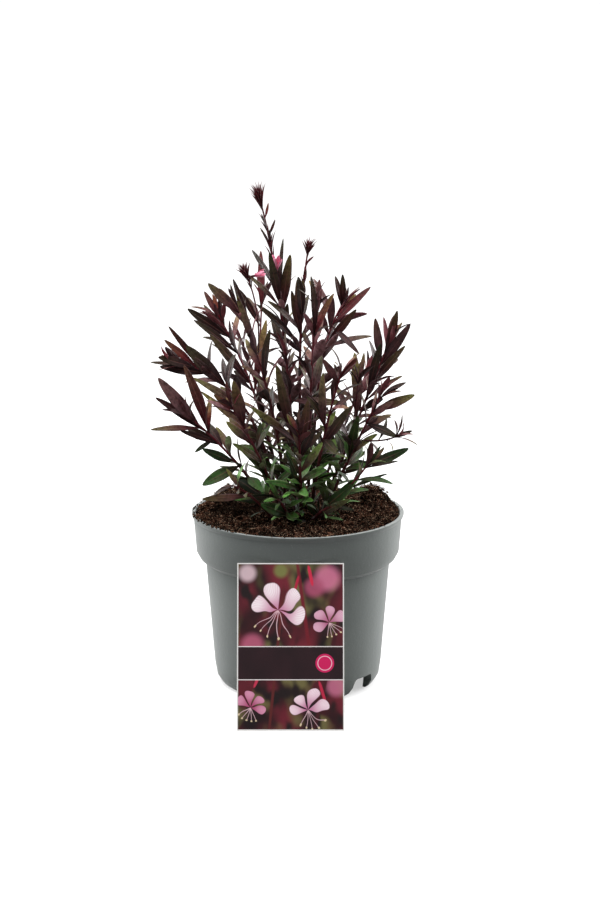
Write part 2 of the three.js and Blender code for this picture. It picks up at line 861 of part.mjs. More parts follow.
// The leaves whose tips are set, seen broad from the front. One that touches a neighbour is moved a little.
function setLeaves(shoot) {
  const dice = new Dice(shoot.seed + 500);
  for (const [share, x, y, z, width] of shoot.plan.set ?? []) {
    const start = shoot.curve.at(share);
    let done = false;
    for (let attempt = 0; attempt < TRIES && !done; attempt++) {
      const tip = point(x, y, z);
      tip.x += dice.between(-1, 1) * attempt;
      tip.y += dice.between(-2.5, 2.5) * attempt;
      tip.z += dice.between(-1, 1) * attempt;
      const curl = dice.between(0.15, 0.6);
      const roll = dice.between(-0.5, 0.5);
      const fold = dice.between(0.1, 0.3);
      const wave = dice.between(-0.1, 0.1);
      const chord = tip.clone().sub(start);
      const length = (chord.length() * curl) / 2 / Math.sin(curl / 2);
      chord.normalize();
      const face = point(0, -0.8, 0.6);
      face.addScaledVector(chord, -face.dot(chord)).normalize();
      const side = chord.clone().cross(face);
      face.multiplyScalar(Math.cos(roll)).addScaledVector(side, Math.sin(roll));
      const heading = chord.multiplyScalar(Math.cos(curl / 2)).addScaledVector(face, Math.sin(curl / 2));
      const blade = new Blade(start, heading, face, length, width, curl, 0, fold, wave);
      const discs = blade.discs();
      if (!isClear(shoot.owner, discs)) continue;
      place(shoot.owner, "leaf", discs);
      shoot.blades.push(blade);
      done = true;
    }
  }
}

// Leaves stand round each shoot by the golden angle, wide open low down and close to it near the tip.
// Each is turned, and then shortened, until it is clear of every leaf and stem that is there already.
function growLeaves(shoot) {
  const { plan, curve, owner } = shoot;
  const dice = new Dice(shoot.seed);
  const start = dice.between(0, 2 * Math.PI);
  const bare = plan.bare ?? 0.15;
  const reach = plan.reach ?? 0.99;
  for (let i = 0; i < plan.leaves; i++) {
    const k = (i + 0.5) / plan.leaves;
    const t = mix(bare, reach, k);
    const along = curve.along(t);
    const [first, second] = acrossOf(along);
    let done = false;
    for (let attempt = 0; attempt < TRIES && !done; attempt++) {
      const spread = 1 + 0.5 * attempt;
      const turn = start + i * LEAF_TURN + dice.between(-0.3, 0.3) * spread;
      const open = degrees(mix(plan.low ? 70 : 58, 20, k) + dice.between(-7, 7) * spread);
      const outward = first.clone().multiplyScalar(Math.cos(turn)).addScaledVector(second, Math.sin(turn));
      const heading = along.clone().multiplyScalar(Math.cos(open)).addScaledVector(outward, Math.sin(open));
      heading.addScaledVector(up, plan.low ? 0.1 : 0.28);
      const size = 1 - 0.45 * k ** 3 - 0.3 * (1 - k) ** 2;
      const length = plan.long * size * dice.between(0.86, 1.12) * (1 - 0.035 * attempt);
      const width = length * dice.between(0.21, 0.28);
      const curl = mix(0.7, 0.3, k) + dice.between(-0.25, 0.35);
      const roll = dice.between(-1.1, 1.1);
      const fold = dice.between(0.1, 0.35);
      const wave = dice.between(-0.1, 0.1);
      const blade = new Blade(curve.at(t), heading, along, length, width, curl, roll, fold, wave);
      const discs = blade.discs();
      if (!isClear(owner, discs)) continue;
      place(owner, "leaf", discs);
      shoot.blades.push(blade);
      done = true;
    }
  }
}

shoots.forEach(setLeaves);
shoots.forEach(growLeaves);

// A bud is a slim spindle, and a head is a tuft of them that fans out from the tip of its stem
function budSolid(base, heading, length) {
  const middle = base.clone().addScaledVector(heading, length * 0.6);
  const tip = base.clone().addScaledVector(heading, length);
  return loft([[base], ringRound(middle, heading, BUD_RADIUS, 4), [tip]]);
}

function headSolids({ curve, plan: { head } }) {
  const along = curve.along(1);
  const [first, second] = acrossOf(along);
  return Array.from({ length: head.buds }, (_, i) => {
    const turn = i * LEAF_TURN;
    const open = 0.1 + head.open * Math.sqrt(i / head.buds);
    const heading = along.clone().multiplyScalar(Math.cos(open));
    heading.addScaledVector(first, Math.sin(open) * Math.cos(turn));
    heading.addScaledVector(second, Math.sin(open) * Math.sin(turn));
    const base = curve.at(1).addScaledVector(along, -BUD_STEP * (i / head.buds));
    return budSolid(base, heading, head.long);
  });
}

for (const [name, plan] of Object.entries(STEMS)) {
  const mine = shoots.filter((shoot) => shoot.owner === name);
  const solids = mine.flatMap((shoot) => [
    stemSolid(shoot),
    ...shoot.blades.map((blade) => blade.solid()),
    ...(shoot.plan.head ? headSolids(shoot) : []),
  ]);
  addMesh(name, join(solids), plan.low ? GREEN : MAUVE, 0.55);
}

for (const flower of flowers) addMesh(flower.name, flowerSolid(flower), PINK, 0.45);
addMesh("pot", pot(), 0x757b78, 0.5);
const holes = shoots.filter((shoot) => shoot.plan.foot).map((shoot) => stemSolid(shoot, GAP));
addMesh("soil", soil(holes), 0x2e1d15, 0.95);
addMesh("label_card", labelCard(), 0x6e3147, 0.4);

const box = new THREE.Box3().setFromObject(root);
const middle = box.getCenter(point(0, 0, 0));
root.position.set(-middle.x, -middle.y, 0);

export default root;
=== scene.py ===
import math

import bmesh
import bpy
import numpy as np
from mathutils import Matrix, Vector, noise


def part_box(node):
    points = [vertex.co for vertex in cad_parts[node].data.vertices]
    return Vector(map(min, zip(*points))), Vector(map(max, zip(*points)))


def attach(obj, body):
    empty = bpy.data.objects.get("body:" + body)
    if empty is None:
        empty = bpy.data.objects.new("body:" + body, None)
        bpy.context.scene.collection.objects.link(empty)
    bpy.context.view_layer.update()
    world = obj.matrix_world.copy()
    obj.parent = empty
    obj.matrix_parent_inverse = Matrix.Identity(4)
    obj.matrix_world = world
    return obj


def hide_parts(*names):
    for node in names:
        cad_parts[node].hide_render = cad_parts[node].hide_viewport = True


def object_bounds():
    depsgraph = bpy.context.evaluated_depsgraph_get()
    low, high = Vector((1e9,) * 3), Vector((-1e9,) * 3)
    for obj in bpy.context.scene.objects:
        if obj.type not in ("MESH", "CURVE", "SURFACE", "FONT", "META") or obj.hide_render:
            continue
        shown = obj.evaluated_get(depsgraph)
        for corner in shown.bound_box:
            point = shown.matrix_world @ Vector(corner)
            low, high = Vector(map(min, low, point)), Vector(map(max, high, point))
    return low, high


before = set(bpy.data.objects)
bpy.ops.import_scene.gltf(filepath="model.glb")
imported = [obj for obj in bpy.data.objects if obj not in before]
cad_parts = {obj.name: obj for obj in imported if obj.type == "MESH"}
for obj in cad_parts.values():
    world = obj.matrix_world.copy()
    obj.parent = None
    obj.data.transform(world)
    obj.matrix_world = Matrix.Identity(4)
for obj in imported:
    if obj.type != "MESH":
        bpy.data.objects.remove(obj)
cad_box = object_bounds()

# Camera
# A long lens at about two metres, a little above the plant and tipped down towards the pot's rim.

LENS = 109.7
CAMERA_ASIDE, CAMERA_AWAY, CAMERA_HEIGHT = 0.0018, 2.1410, 0.6976
CAMERA_TIP = math.radians(13.3)

pot_low, pot_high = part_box("pot")
axis_x, axis_y = (pot_low.x + pot_high.x) / 2, (pot_low.y + pot_high.y) / 2
camera = bpy.data.objects.new("camera", bpy.data.cameras.new("camera"))
bpy.context.scene.collection.objects.link(camera)
bpy.context.scene.camera = camera
camera.data.sensor_width = 36
camera.data.lens = LENS
camera.data.clip_end = 100
camera.location = (axis_x + CAMERA_ASIDE, axis_y - CAMERA_AWAY, CAMERA_HEIGHT)
camera.rotation_euler = (math.pi / 2 - CAMERA_TIP, 0, 0)

# Pot
# An injection-moulded nursery pot of recycled grey plastic: thin wall, rolled lip, deep band under it,
# tapered body, and a raised floor with drain holes over a foot with five drainage notches.

POT_HEIGHT = 141
LIP_RADIUS, LIP_WIDTH, LIP_DEPTH = 85.6, 3, 2.2
BAND_TOP = (83.9, 137)
BAND_LOW = (81.8, 110)
SHOULDER = (79.3, 105.2)
BODY_TOP = (74.3, 101.5)
BODY_LOW = (67.6, 18)
HEEL = (66, 7.5)
FOOT_FLARE = (62.7, 2.2)
FOOT_RADIUS, FOOT_WIDTH, RECESS_RADIUS = 59.5, 2.4, 59.7
WALL, LIP_ROUND, FLOOR_ROUND = 1.7, 0.4, 1
FLOOR_Z, FLOOR_THICKNESS = 15.5, 1.8
FLOOR_TOP = FLOOR_Z + FLOOR_THICKNESS
NOTCHES, NOTCH_ANGLE, NOTCH_REACH = 5, 53, 40
NOTCH_WIDTH, NOTCH_HEIGHT, NOTCH_SHOULDER = 27, 14, 5
DRAINS, DRAIN_RING, DRAIN_RADIUS, DRAIN_DEPTH, DRAIN_SIDES = 8, 44, 4.5, 12, 20
TURN_STEPS = 128
ROUNDING = 0.0004

# Everything is shaped in millimetres round the pot's own axis, and this sets it in the model's place.
TO_PLACE = Matrix.Translation((axis_x, axis_y, 0)) @ Matrix.Scale(0.001, 4)


class Shade:
    """A socket of a node tree, so that sums of sockets can be written as sums."""

    def __init__(self, tree, socket=None):
        self.tree, self.socket = tree, socket

    def node(self, kind, inputs=(), output=0, **settings):
        made = self.tree.nodes.new("ShaderNode" + kind)
        for name, value in settings.items():
            setattr(made, name, value)
        for name, value in dict(inputs).items():
            if isinstance(value, Shade):
                self.tree.links.new(made.inputs[name], value.socket)
            else:
                made.inputs[name].default_value = value
        return Shade(self.tree, made.outputs[output])

    def other(self, output):
        """Another output of the node that this socket belongs to."""
        return Shade(self.tree, self.socket.node.outputs[output])

    def place(self):
        """Where the point is on the object, in metres."""
        return self.node("TexCoord", output=3)

    def math(self, operation, *values):
        return self.node("Math", enumerate(values), operation=operation)

    def __add__(self, other):
        return self.math("ADD", self, other)

    def __sub__(self, other):
        return self.math("SUBTRACT", self, other)

    def __rsub__(self, other):
        return self.math("SUBTRACT", other, self)

    def __mul__(self, other):
        return self.math("MULTIPLY", self, other)

    def __truediv__(self, other):
        return self.math("DIVIDE", self, other)

    def __pow__(self, other):
        return self.math("POWER", self, other)

    def __abs__(self):
        return self.math("ABSOLUTE", self)

    __radd__ = __add__
    __rmul__ = __mul__

    def step(self, low, high):
        """0 below low and 1 above high, smooth between them; the other way round where high is less."""
        return self.node("MapRange", {0: self, 1: low, 2: high}, interpolation_type="SMOOTHSTEP")

    def blend(self, first, second):
        """The colour first where this is 0 and second where it is 1."""
        pair = {6: first, 7: second}
        pair = {k: v if isinstance(v, Shade) else (*v, 1) for k, v in pair.items()}
        return self.node("Mix", {0: self, **pair}, output=2, data_type="RGBA")

    def noise(self, scale, detail=3, rough=0.55, **settings):
        inputs = {"Vector": self, "Scale": scale, "Detail": detail, "Roughness": rough}
        return self.node("TexNoise", inputs, **settings)


def srgb(red, green, blue):
    share = np.array([red, green, blue]) / 255
    return np.where(share <= 0.04045, share / 12.92, ((share + 0.055) / 1.055) ** 2.4)


def finish(name, colour, rough, bump=None, height=0.001, **sockets):
    """A Principled finish. Its colour and the rest are values, or functions of the tree's first shade."""
    material = bpy.data.materials.new(name)
    material.use_nodes = True
    tree = material.node_tree
    shader = tree.nodes["Principled BSDF"]
    first = Shade(tree)
    for socket, value in {"Base Color": colour, "Roughness": rough, **sockets}.items():
        socket = socket.replace("_", " ")
        value = value(first) if callable(value) else value
        if isinstance(value, Shade):
            tree.links.new(shader.inputs[socket], value.socket)
        else:
            shader.inputs[socket].default_value = (*value, 1) if np.ndim(value) else value
    if bump:
        relief = first.node("Bump", {"Height": bump(first), "Strength": 1.0, "Distance": height})
        tree.links.new(shader.inputs["Normal"], relief.socket)
    return material


def body(name, mesh):
    """An object in the scene that takes over a finished bmesh."""
    made = bpy.data.objects.new(name, bpy.data.meshes.new(name))
    mesh.to_mesh(made.data)
    mesh.free()
    bpy.context.scene.collection.objects.link(made)
    return made


def piece(name, mesh, material, node):
    """Sets a finished bmesh in its place in the model as the piece that stands for a CAD node."""
    bmesh.ops.transform(mesh, matrix=TO_PLACE, verts=mesh.verts)
    bmesh.ops.recalc_face_normals(mesh, faces=mesh.faces)
    for face in mesh.faces:
        face.smooth = True
    made = body(name, mesh)
    made.data.materials.append(material)
    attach(made, "root")
    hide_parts(node)
    return made


POT_PROFILE = [
    (0, FLOOR_Z), (RECESS_RADIUS, FLOOR_Z), (FOOT_RADIUS - FOOT_WIDTH, 0), (FOOT_RADIUS, 0),
    FOOT_FLARE, HEEL, BODY_LOW, BODY_TOP, SHOULDER, BAND_LOW, BAND_TOP,
    (LIP_RADIUS - LIP_ROUND, POT_HEIGHT - LIP_DEPTH), (LIP_RADIUS, POT_HEIGHT - LIP_DEPTH / 2),
    (LIP_RADIUS, POT_HEIGHT), (LIP_RADIUS - LIP_WIDTH, POT_HEIGHT),
    (BAND_TOP[0] - WALL, BAND_TOP[1]), (BAND_LOW[0] - WALL, BAND_LOW[1]),
    (BODY_TOP[0] - WALL, BODY_TOP[1]), (BODY_LOW[0] - WALL, BODY_LOW[1]),
    (BODY_LOW[0] - WALL - FLOOR_ROUND, FLOOR_TOP), (0, FLOOR_TOP),
]


def points_of(geometry):
    return [v for v in geometry if isinstance(v, bmesh.types.BMVert)]


def drainage_tools():
    """The notch blocks and the drills, as one mesh."""
    tools = bmesh.new()
    half = NOTCH_WIDTH / 2
    arch = [(-half, -1), (half, -1)]
    for t in (0.2, 0.4, 0.6, 0.8, 1):
        x = half * (1 - t) ** 2 + (half - 1) * 2 * t * (1 - t) + (half - NOTCH_SHOULDER) * t * t
        arch.append((x, NOTCH_HEIGHT * t * (2 - t) - (1 - t) ** 2))
    arch += [(-x, z) for x, z in reversed(arch[2:])]
    for i in range(NOTCHES):
        turn = Matrix.Rotation(math.radians(NOTCH_ANGLE) + 2 * math.pi / NOTCHES * i, 3, "Z")
        corners = [tools.verts.new(turn @ Vector((x, -NOTCH_REACH, z))) for x, z in arch]
        block = bmesh.ops.extrude_face_region(tools, geom=[tools.faces.new(corners)])["geom"]
        bmesh.ops.translate(tools, vec=turn @ Vector((0, -NOTCH_REACH, 0)), verts=points_of(block))
    for i in range(DRAINS):
        angle = 2 * math.pi * (i + 0.5) / DRAINS
        spot = Matrix.Translation((DRAIN_RING * math.cos(angle), DRAIN_RING * math.sin(angle), FLOOR_Z))
        size = {"radius1": DRAIN_RADIUS, "radius2": DRAIN_RADIUS, "depth": DRAIN_DEPTH}
        bmesh.ops.create_cone(tools, cap_ends=True, segments=DRAIN_SIDES, matrix=spot, **size)
    bmesh.ops.recalc_face_normals(tools, faces=tools.faces)
    return tools


PLASTIC_GREY, PLASTIC_PALE = srgb(103, 109, 107), srgb(109, 115, 112)
PALE_SPECK, DIRT = srgb(134, 139, 136), srgb(70, 56, 48)


def plastic(shade):
    where = shade.place()
    cloud = where.noise(9, 4)
    speck = where.noise(900, 2)
    dirt = where.noise(260, 3, 0.7)
    tone = cloud.step(0.3, 0.7).blend(PLASTIC_GREY, PLASTIC_PALE)
    tone = (speck.step(0.62, 0.75) * 0.5).blend(tone, PALE_SPECK)
    return (dirt.step(0.735, 0.76) * 0.7).blend(tone, DIRT)


def plastic_relief(shade):
    where = shade.place()
    return where.noise(420, 3) * 0.5 + where.noise(60, 2) * 0.8


shell = bmesh.new()
corners = [shell.verts.new((r, 0, z)) for r, z in POT_PROFILE]
edges = [shell.edges.new(pair) for pair in zip(corners, corners[1:])]
bmesh.ops.spin(
    shell, geom=corners + edges, cent=(0, 0, 0), axis=(0, 0, 1), angle=2 * math.pi, steps=TURN_STEPS,
    use_merge=True,
)
bmesh.ops.remove_doubles(shell, verts=shell.verts, dist=0.001)
dusty = {"Sheen_Weight": 0.3, "Sheen_Roughness": 0.4}
grey_plastic = finish(
    "pot_plastic", plastic, rough=0.42, bump=plastic_relief, height=0.00025, **dusty
)
pot = piece("nursery_pot", shell, grey_plastic, "pot")
tools = drainage_tools()
bmesh.ops.transform(tools, matrix=TO_PLACE, verts=tools.verts)
cutter = body("cutter", tools)
cut = pot.modifiers.new("cut", "BOOLEAN")
cut.object = cutter
drained = bpy.data.meshes.new_from_object(pot.evaluated_get(bpy.context.evaluated_depsgraph_get()))
pot.modifiers.clear()
pot.data = drained
bpy.data.objects.remove(cutter)
rounding = pot.modifiers.new("rounding", "BEVEL")
rounding.width = ROUNDING
rounding.segments = 3
rounding.limit_method = "ANGLE"
rounding.angle_limit = math.radians(25)
rounding.harden_normals = True

# Soil
# Damp peat filled to the rim and heaped behind, lumpy on top, strewn with crumbs of bark and with fine
# fibres; some crumbs lie on the lip of the pot.

SOIL_Z = 138.2
SOIL_REACH = 80
CROWN_RISE, CROWN_Y, EDGE_RISE = 4, 3, 2.2
HEAP_RISE, HEAP_MIDDLE, HEAP_SPREAD = 8.5, (58, 40), 340
BANK_RISE, BANK_MIDDLE, BANK_SPREAD = 3.6, (-56, 55), 420
DIP_DEPTH, DIP_MIDDLE, DIP_SPREAD = 4, (-46, 24), 380
LUMP_RISE, LUMP_ACROSS, CLOD_ACROSS, LUMP_SINK = 2.2, 9, 3.2, 0.4
GRAIN_RISE, GRAIN_ACROSS = 0.9, 1.3
GAP = 0.3
SOIL_EDGE = BAND_TOP[0] - WALL - 2 * GAP
TOP_ROWS, PEAT_ROWS, PEAT_SIDES = 88, 96, 220
CRUMBS, FIBRES, LIP_CRUMBS = 2600, 1700, 190
BATCH = 50
# Middle of a patch of painted shade on the peat, over the dip at the back left.
PAINTED_SHADE_MIDDLE = (axis_x - 0.046, axis_y + 0.018, 0.138)
PEAT_BLACK = srgb(7, 5, 4)
PEAT_DARK = srgb(32, 21, 17)
PEAT_BROWN = srgb(62, 45, 36)
PEAT_RED = srgb(108, 72, 56)
PEAT_TAN = srgb(208, 178, 150)


def mound(x, y, middle, spread):
    return np.exp(-((x - middle[0]) ** 2 + (y - middle[1]) ** 2) / spread)


def soil_height(x, y):
    out = np.hypot(x, y - CROWN_Y) / SOIL_REACH
    crown = CROWN_RISE * np.exp(-6 * out * out)
    edge = (EDGE_RISE + y / 90) * (np.hypot(x, y) / SOIL_REACH) ** 6
    heap = HEAP_RISE * mound(x, y, HEAP_MIDDLE, HEAP_SPREAD)
    bank = BANK_RISE * mound(x, y, BANK_MIDDLE, BANK_SPREAD)
    dip = DIP_DEPTH * mound(x, y, DIP_MIDDLE, DIP_SPREAD)
    lumps = 0.8 * np.sin(0.21 * x + 1.3) * np.sin(0.25 * y + 0.4)
    crumbs = 0.5 * np.sin(0.43 * x - 0.31 * y)
    return SOIL_Z + crown + edge + heap + bank - dip + lumps + crumbs


def tint_layer(mesh):
    return mesh.loops.layers.float_color.get("tint") or mesh.loops.layers.float_color.new("tint")


def sleeve(mesh, rows, sides, shape, paint):
    """A grid of so many rows and sides, rolled shut. shape and paint give the places and tints of its
    corners from how far along and how far round they are, both from 0 to 1."""
    grid = bmesh.ops.create_grid(mesh, x_segments=rows, y_segments=sides, size=0.5)["verts"]
    along = np.round((np.array([v.co.x for v in grid]) + 0.5) * rows) / rows
    round_ = np.round((np.array([v.co.y for v in grid]) + 0.5) * sides) / sides
    tints = paint(along, round_)
    uv = mesh.loops.layers.uv.verify()
    tint = tint_layer(mesh)
    order = {v: i for i, v in enumerate(grid)}
    for face in {face for v in grid for face in v.link_faces}:
        for corner in face.loops:
            i = order[corner.vert]
            corner[uv].uv = along[i], round_[i]
            corner[tint] = (*tints[i], 1)
    for v, place in zip(grid, shape(along, round_)):
        v.co = place
    bmesh.ops.remove_doubles(mesh, verts=grid, dist=1e-4)


def lumpy(x, y):
    """How far the peat stands up from its smooth height, from its lumps down to its crumbs."""
    lumps = LUMP_RISE * noise.noise((x / LUMP_ACROSS, y / LUMP_ACROSS, 1))
    lumps += LUMP_RISE * abs(noise.noise((x / CLOD_ACROSS, y / CLOD_ACROSS, 7)))
    return lumps - LUMP_SINK + GRAIN_RISE * noise.noise((x / GRAIN_ACROSS, y / GRAIN_ACROSS, 3))


def peat_shape(along, round_):
    wall = [BAND_TOP, BAND_LOW, BODY_TOP, BODY_LOW, (BODY_LOW[0] - FLOOR_ROUND, FLOOR_TOP + GAP)]
    points = []
    for s, turn in zip(along * PEAT_ROWS, round_ * 2 * math.pi):
        if s <= TOP_ROWS:
            r = SOIL_EDGE * (s / TOP_ROWS) ** 0.8
            x, y = r * math.cos(turn), r * math.sin(turn)
            z = soil_height(x, y) + lumpy(x, y) * min(1, (TOP_ROWS - s) / 3 + 0.3)
        elif s < PEAT_ROWS:
            r, z = wall[min(4, int((s - TOP_ROWS) / (PEAT_ROWS - TOP_ROWS) * 5.01))]
            r -= WALL + 2 * GAP
            x, y = r * math.cos(turn), r * math.sin(turn)
        else:
            x, y, z = 0, 0, wall[-1][1]
        points.append((x, y, z))
    return points


def one_tint(tint):
    return lambda along, round_: [tint] * len(along)


def crumb(mesh, place, size, tint, chance):
    turn = Matrix.Rotation(chance.uniform(0, 6), 4, Vector(chance.normal(size=3)).normalized())
    squash = Matrix.Diagonal((*(size * chance.uniform(0.5, 1.3, 3)), 1))
    grains = bmesh.ops.create_icosphere(
        mesh, subdivisions=1, radius=1, matrix=Matrix.Translation(place) @ turn @ squash
    )["verts"]
    for v in grains:
        v.co += (v.co - Vector(place)) * chance.uniform(-0.4, 0.4)
    layer = tint_layer(mesh)
    for face in {face for v in grains for face in v.link_faces}:
        for corner in face.loops:
            corner[layer] = (*tint, 1)


def fibre(mesh, place, length, width, rise, tint, chance):
    turn = chance.uniform(0, 2 * math.pi)
    ahead = np.array([math.cos(turn), math.sin(turn), chance.normal(0, rise)])
    aside = np.array([-math.sin(turn), math.cos(turn), 0])
    bend = chance.normal(0, 0.3) * length

    def shape(along, round_):
        s = along[:, None] - 0.5
        girth = width * np.sqrt(np.maximum(0, 1 - (2 * s) ** 4))
        angle = (round_ * 2 * math.pi)[:, None]
        middle = np.array(place) + ahead * length * s + aside * bend * (1 - 4 * s * s)
        return middle + girth * (aside * np.cos(angle) + np.array([0, 0, 1]) * np.sin(angle))

    sleeve(mesh, 5, 3, shape, one_tint(tint))


def peat_colour(shade):
    where = shade.place()
    tint = shade.node("Attribute", attribute_name="tint")
    patches = where.noise(75, 2)
    patchy = (patches.step(0.5, 0.62) * 0.8).blend(tint, PEAT_RED)
    coarse = where.noise(150, 4, 0.65).step(0.42, 0.53)
    mixed = (coarse * 0.95).blend(patchy, PEAT_BLACK)
    # Painted shade: the peat turns towards black within a few centimetres of that middle.
    painted_shade = where.node("VectorMath", {0: where, 1: PAINTED_SHADE_MIDDLE}, output=1, operation="DISTANCE")
    painted_shade = painted_shade.step(0.036, 0.014) * 0.8
    bright = (where.noise(560, 4, 0.7).step(0.53, 0.65) * 0.8).blend(mixed, PEAT_RED)
    strewn = (where.noise(1050, 3, 0.6).step(0.59, 0.68) * 0.85).blend(bright, PEAT_TAN)
    # Painted shade: dark patches at random, standing in for shadow between the clumps.
    painted_shade_patches = (patches.step(0.48, 0.36) * 0.75).blend(strewn, PEAT_BLACK)
    return painted_shade.blend(painted_shade_patches, PEAT_BLACK)


def peat_relief(shade):
    where = shade.place()
    return where.noise(420, 5, 0.75) + where.noise(1400, 3, 0.6) * 0.5


def pour(mesh, batch):
    """Empties a small mesh into a big one, because an operator takes longer the more its mesh holds."""
    held = bpy.data.meshes.new("batch")
    batch.to_mesh(held)
    batch.clear()
    mesh.from_mesh(held)
    bpy.data.meshes.remove(held)


def scattered(chance, reach):
    far, turn = reach * math.sqrt(chance.uniform(0, 1)), chance.uniform(0, 2 * math.pi)
    return far * math.cos(turn), far * math.sin(turn)


def heaped(chance):
    """A place on the loose heap behind on the right, or for one in four on the bank behind on the left."""
    x, y = ((-58, 52) if chance.uniform(0, 1) < 0.25 else (57, 41)) + chance.normal(0, 9, 2)
    far = max(1, math.hypot(x, y) / (SOIL_EDGE - 1))
    return x / far, y / far


peat = bmesh.new()
sleeve(peat, PEAT_ROWS, PEAT_SIDES, peat_shape, one_tint(PEAT_DARK))
grains = bmesh.new()
chance = np.random.default_rng(11)
tints = [PEAT_DARK, PEAT_BLACK, PEAT_BROWN, PEAT_RED, PEAT_TAN]
for i in range(CRUMBS):
    loose = i % 8 == 0
    x, y = heaped(chance) if loose else scattered(chance, SOIL_EDGE - 0.5)
    size = chance.uniform(0.35, 0.9) if i % 7 else chance.uniform(0.9, 1.8)
    tint = tints[chance.integers(0, 5 if size < 0.7 else 4)]
    lift = lumpy(x, y) + size * 0.35 + (chance.uniform(0, 2.2) if loose else 0)
    crumb(grains, (x, y, soil_height(x, y) + lift), size, tint, chance)
    if i % BATCH == BATCH - 1:
        pour(peat, grains)
for i in range(FIBRES):
    loose = i % 4 == 0
    x, y = heaped(chance) if loose else scattered(chance, SOIL_EDGE - 3)
    tint = [PEAT_RED, PEAT_TAN, PEAT_DARK][chance.integers(0, 3)]
    lift = lumpy(x, y) + 0.4 + (chance.uniform(0, 2.6) if loose else 0)
    length, width = chance.uniform(2.5, 9), chance.uniform(0.13, 0.36)
    fibre(grains, (x, y, soil_height(x, y) + lift), length, width, 0.6 if loose else 0.25, tint, chance)
    if i % BATCH == BATCH - 1:
        pour(peat, grains)
for i in range(LIP_CRUMBS):
    strewn = i % 3 == 0
    turn = math.radians(chance.uniform(0, 360) if strewn else chance.normal(204, 18))
    far = chance.uniform(SOIL_EDGE - 0.5, LIP_RADIUS - (1.2 if strewn else 0))
    size = chance.uniform(0.25, 0.6 if strewn else 1.1)
    place = (far * math.cos(turn), far * math.sin(turn), POT_HEIGHT + size * 0.35)
    crumb(grains, place, size, [PEAT_DARK, PEAT_RED, PEAT_BLACK][i % 3], chance)
pour(peat, grains)
damp_peat = finish(
    "peat", peat_colour, rough=0.9, bump=peat_relief, height=0.0015, Specular_IOR_Level=0.0
)
piece("peat", peat, damp_peat, "soil")

# Label card
# A laminated picture card that leans on the pot. Its front shows pale pink flowers before a blurred dark
# garden, and a dark band with thin pale edges and a plain magenta disc; its back is blank.

CARD_WIDTH, CARD_LENGTH, CARD_THICKNESS = 83, 130, 0.8
CARD_LEAN = math.radians(22.3)
CARD_X = -5.5
CARD_PAPER = srgb(232, 230, 227)
CARD_MARGIN = 0.9
STRIPE_MIDDLE, STRIPE_HALF, STRIPE_EDGE = 52, 12.5, 0.7
STRIPE_DARK, STRIPE_GLOW, STRIPE_PALE = srgb(22, 14, 17), srgb(58, 28, 36), srgb(232, 226, 226)
DISC_X, DISC_RADIUS, RING_RADIUS, RING_HALF = 68, 7.25, 5.4, 0.325
DISC_MAGENTA, RING_PINK = srgb(206, 28, 92), srgb(240, 190, 206)


def card_flower(x, y, ground, size, turn, tint, deep):
    """Four spoon-shaped petals in an upper fan, with thin pale stamens hanging below them."""
    x, y = x * math.cos(turn) - y * math.sin(turn), x * math.sin(turn) + y * math.cos(turn)
    far = (x * x + y * y) ** 0.5 / size
    angle = abs(x.math("ARCTAN2", x, y))
    fan = abs(x.math("SINE", angle * 3.158)) * angle.step(2.02, 1.96)
    petal = (fan + far**0.5 * (1 - far**6) * 0.95).step(0.94, 1.1)
    below = angle.step(2.2, 2.35)
    spokes = abs(x.math("SINE", angle * 9)) * far
    thread = spokes.step(0.3 / size * 9, 0.1 / size * 9) * below * far.step(0.98, 0.94)
    tip = abs(far - 0.93).step(0.07, 0.03) * below * spokes.step(0.8 / size * 9, 0.5 / size * 9)
    veins = abs(x.math("SINE", angle * 38)) ** 6 * 0.35 + (1 - fan) * 0.4
    tone = veins.blend(far.step(0.05, 0.8).blend(deep, tint), deep)
    ground = (thread * 0.85).blend(ground, srgb(236, 196, 206))
    ground = tip.blend(ground, srgb(226, 206, 168))
    return petal.blend(ground, tone)


def card_streak(x, y, ground, start, long, slope, girth, colour, blur):
    """A slim bud or a stretch of stem, more or less out of focus."""
    across = abs(x - start[0] - (y - start[1]) * slope) / girth
    ends = abs(y - start[1]) / long
    return (across * across + ends**4).step(1 + blur, 1 - blur).blend(ground, colour)


def within(far, reach, soft):
    """1 inside a printed outline and 0 outside it."""
    return far.step(reach + soft, reach - soft)


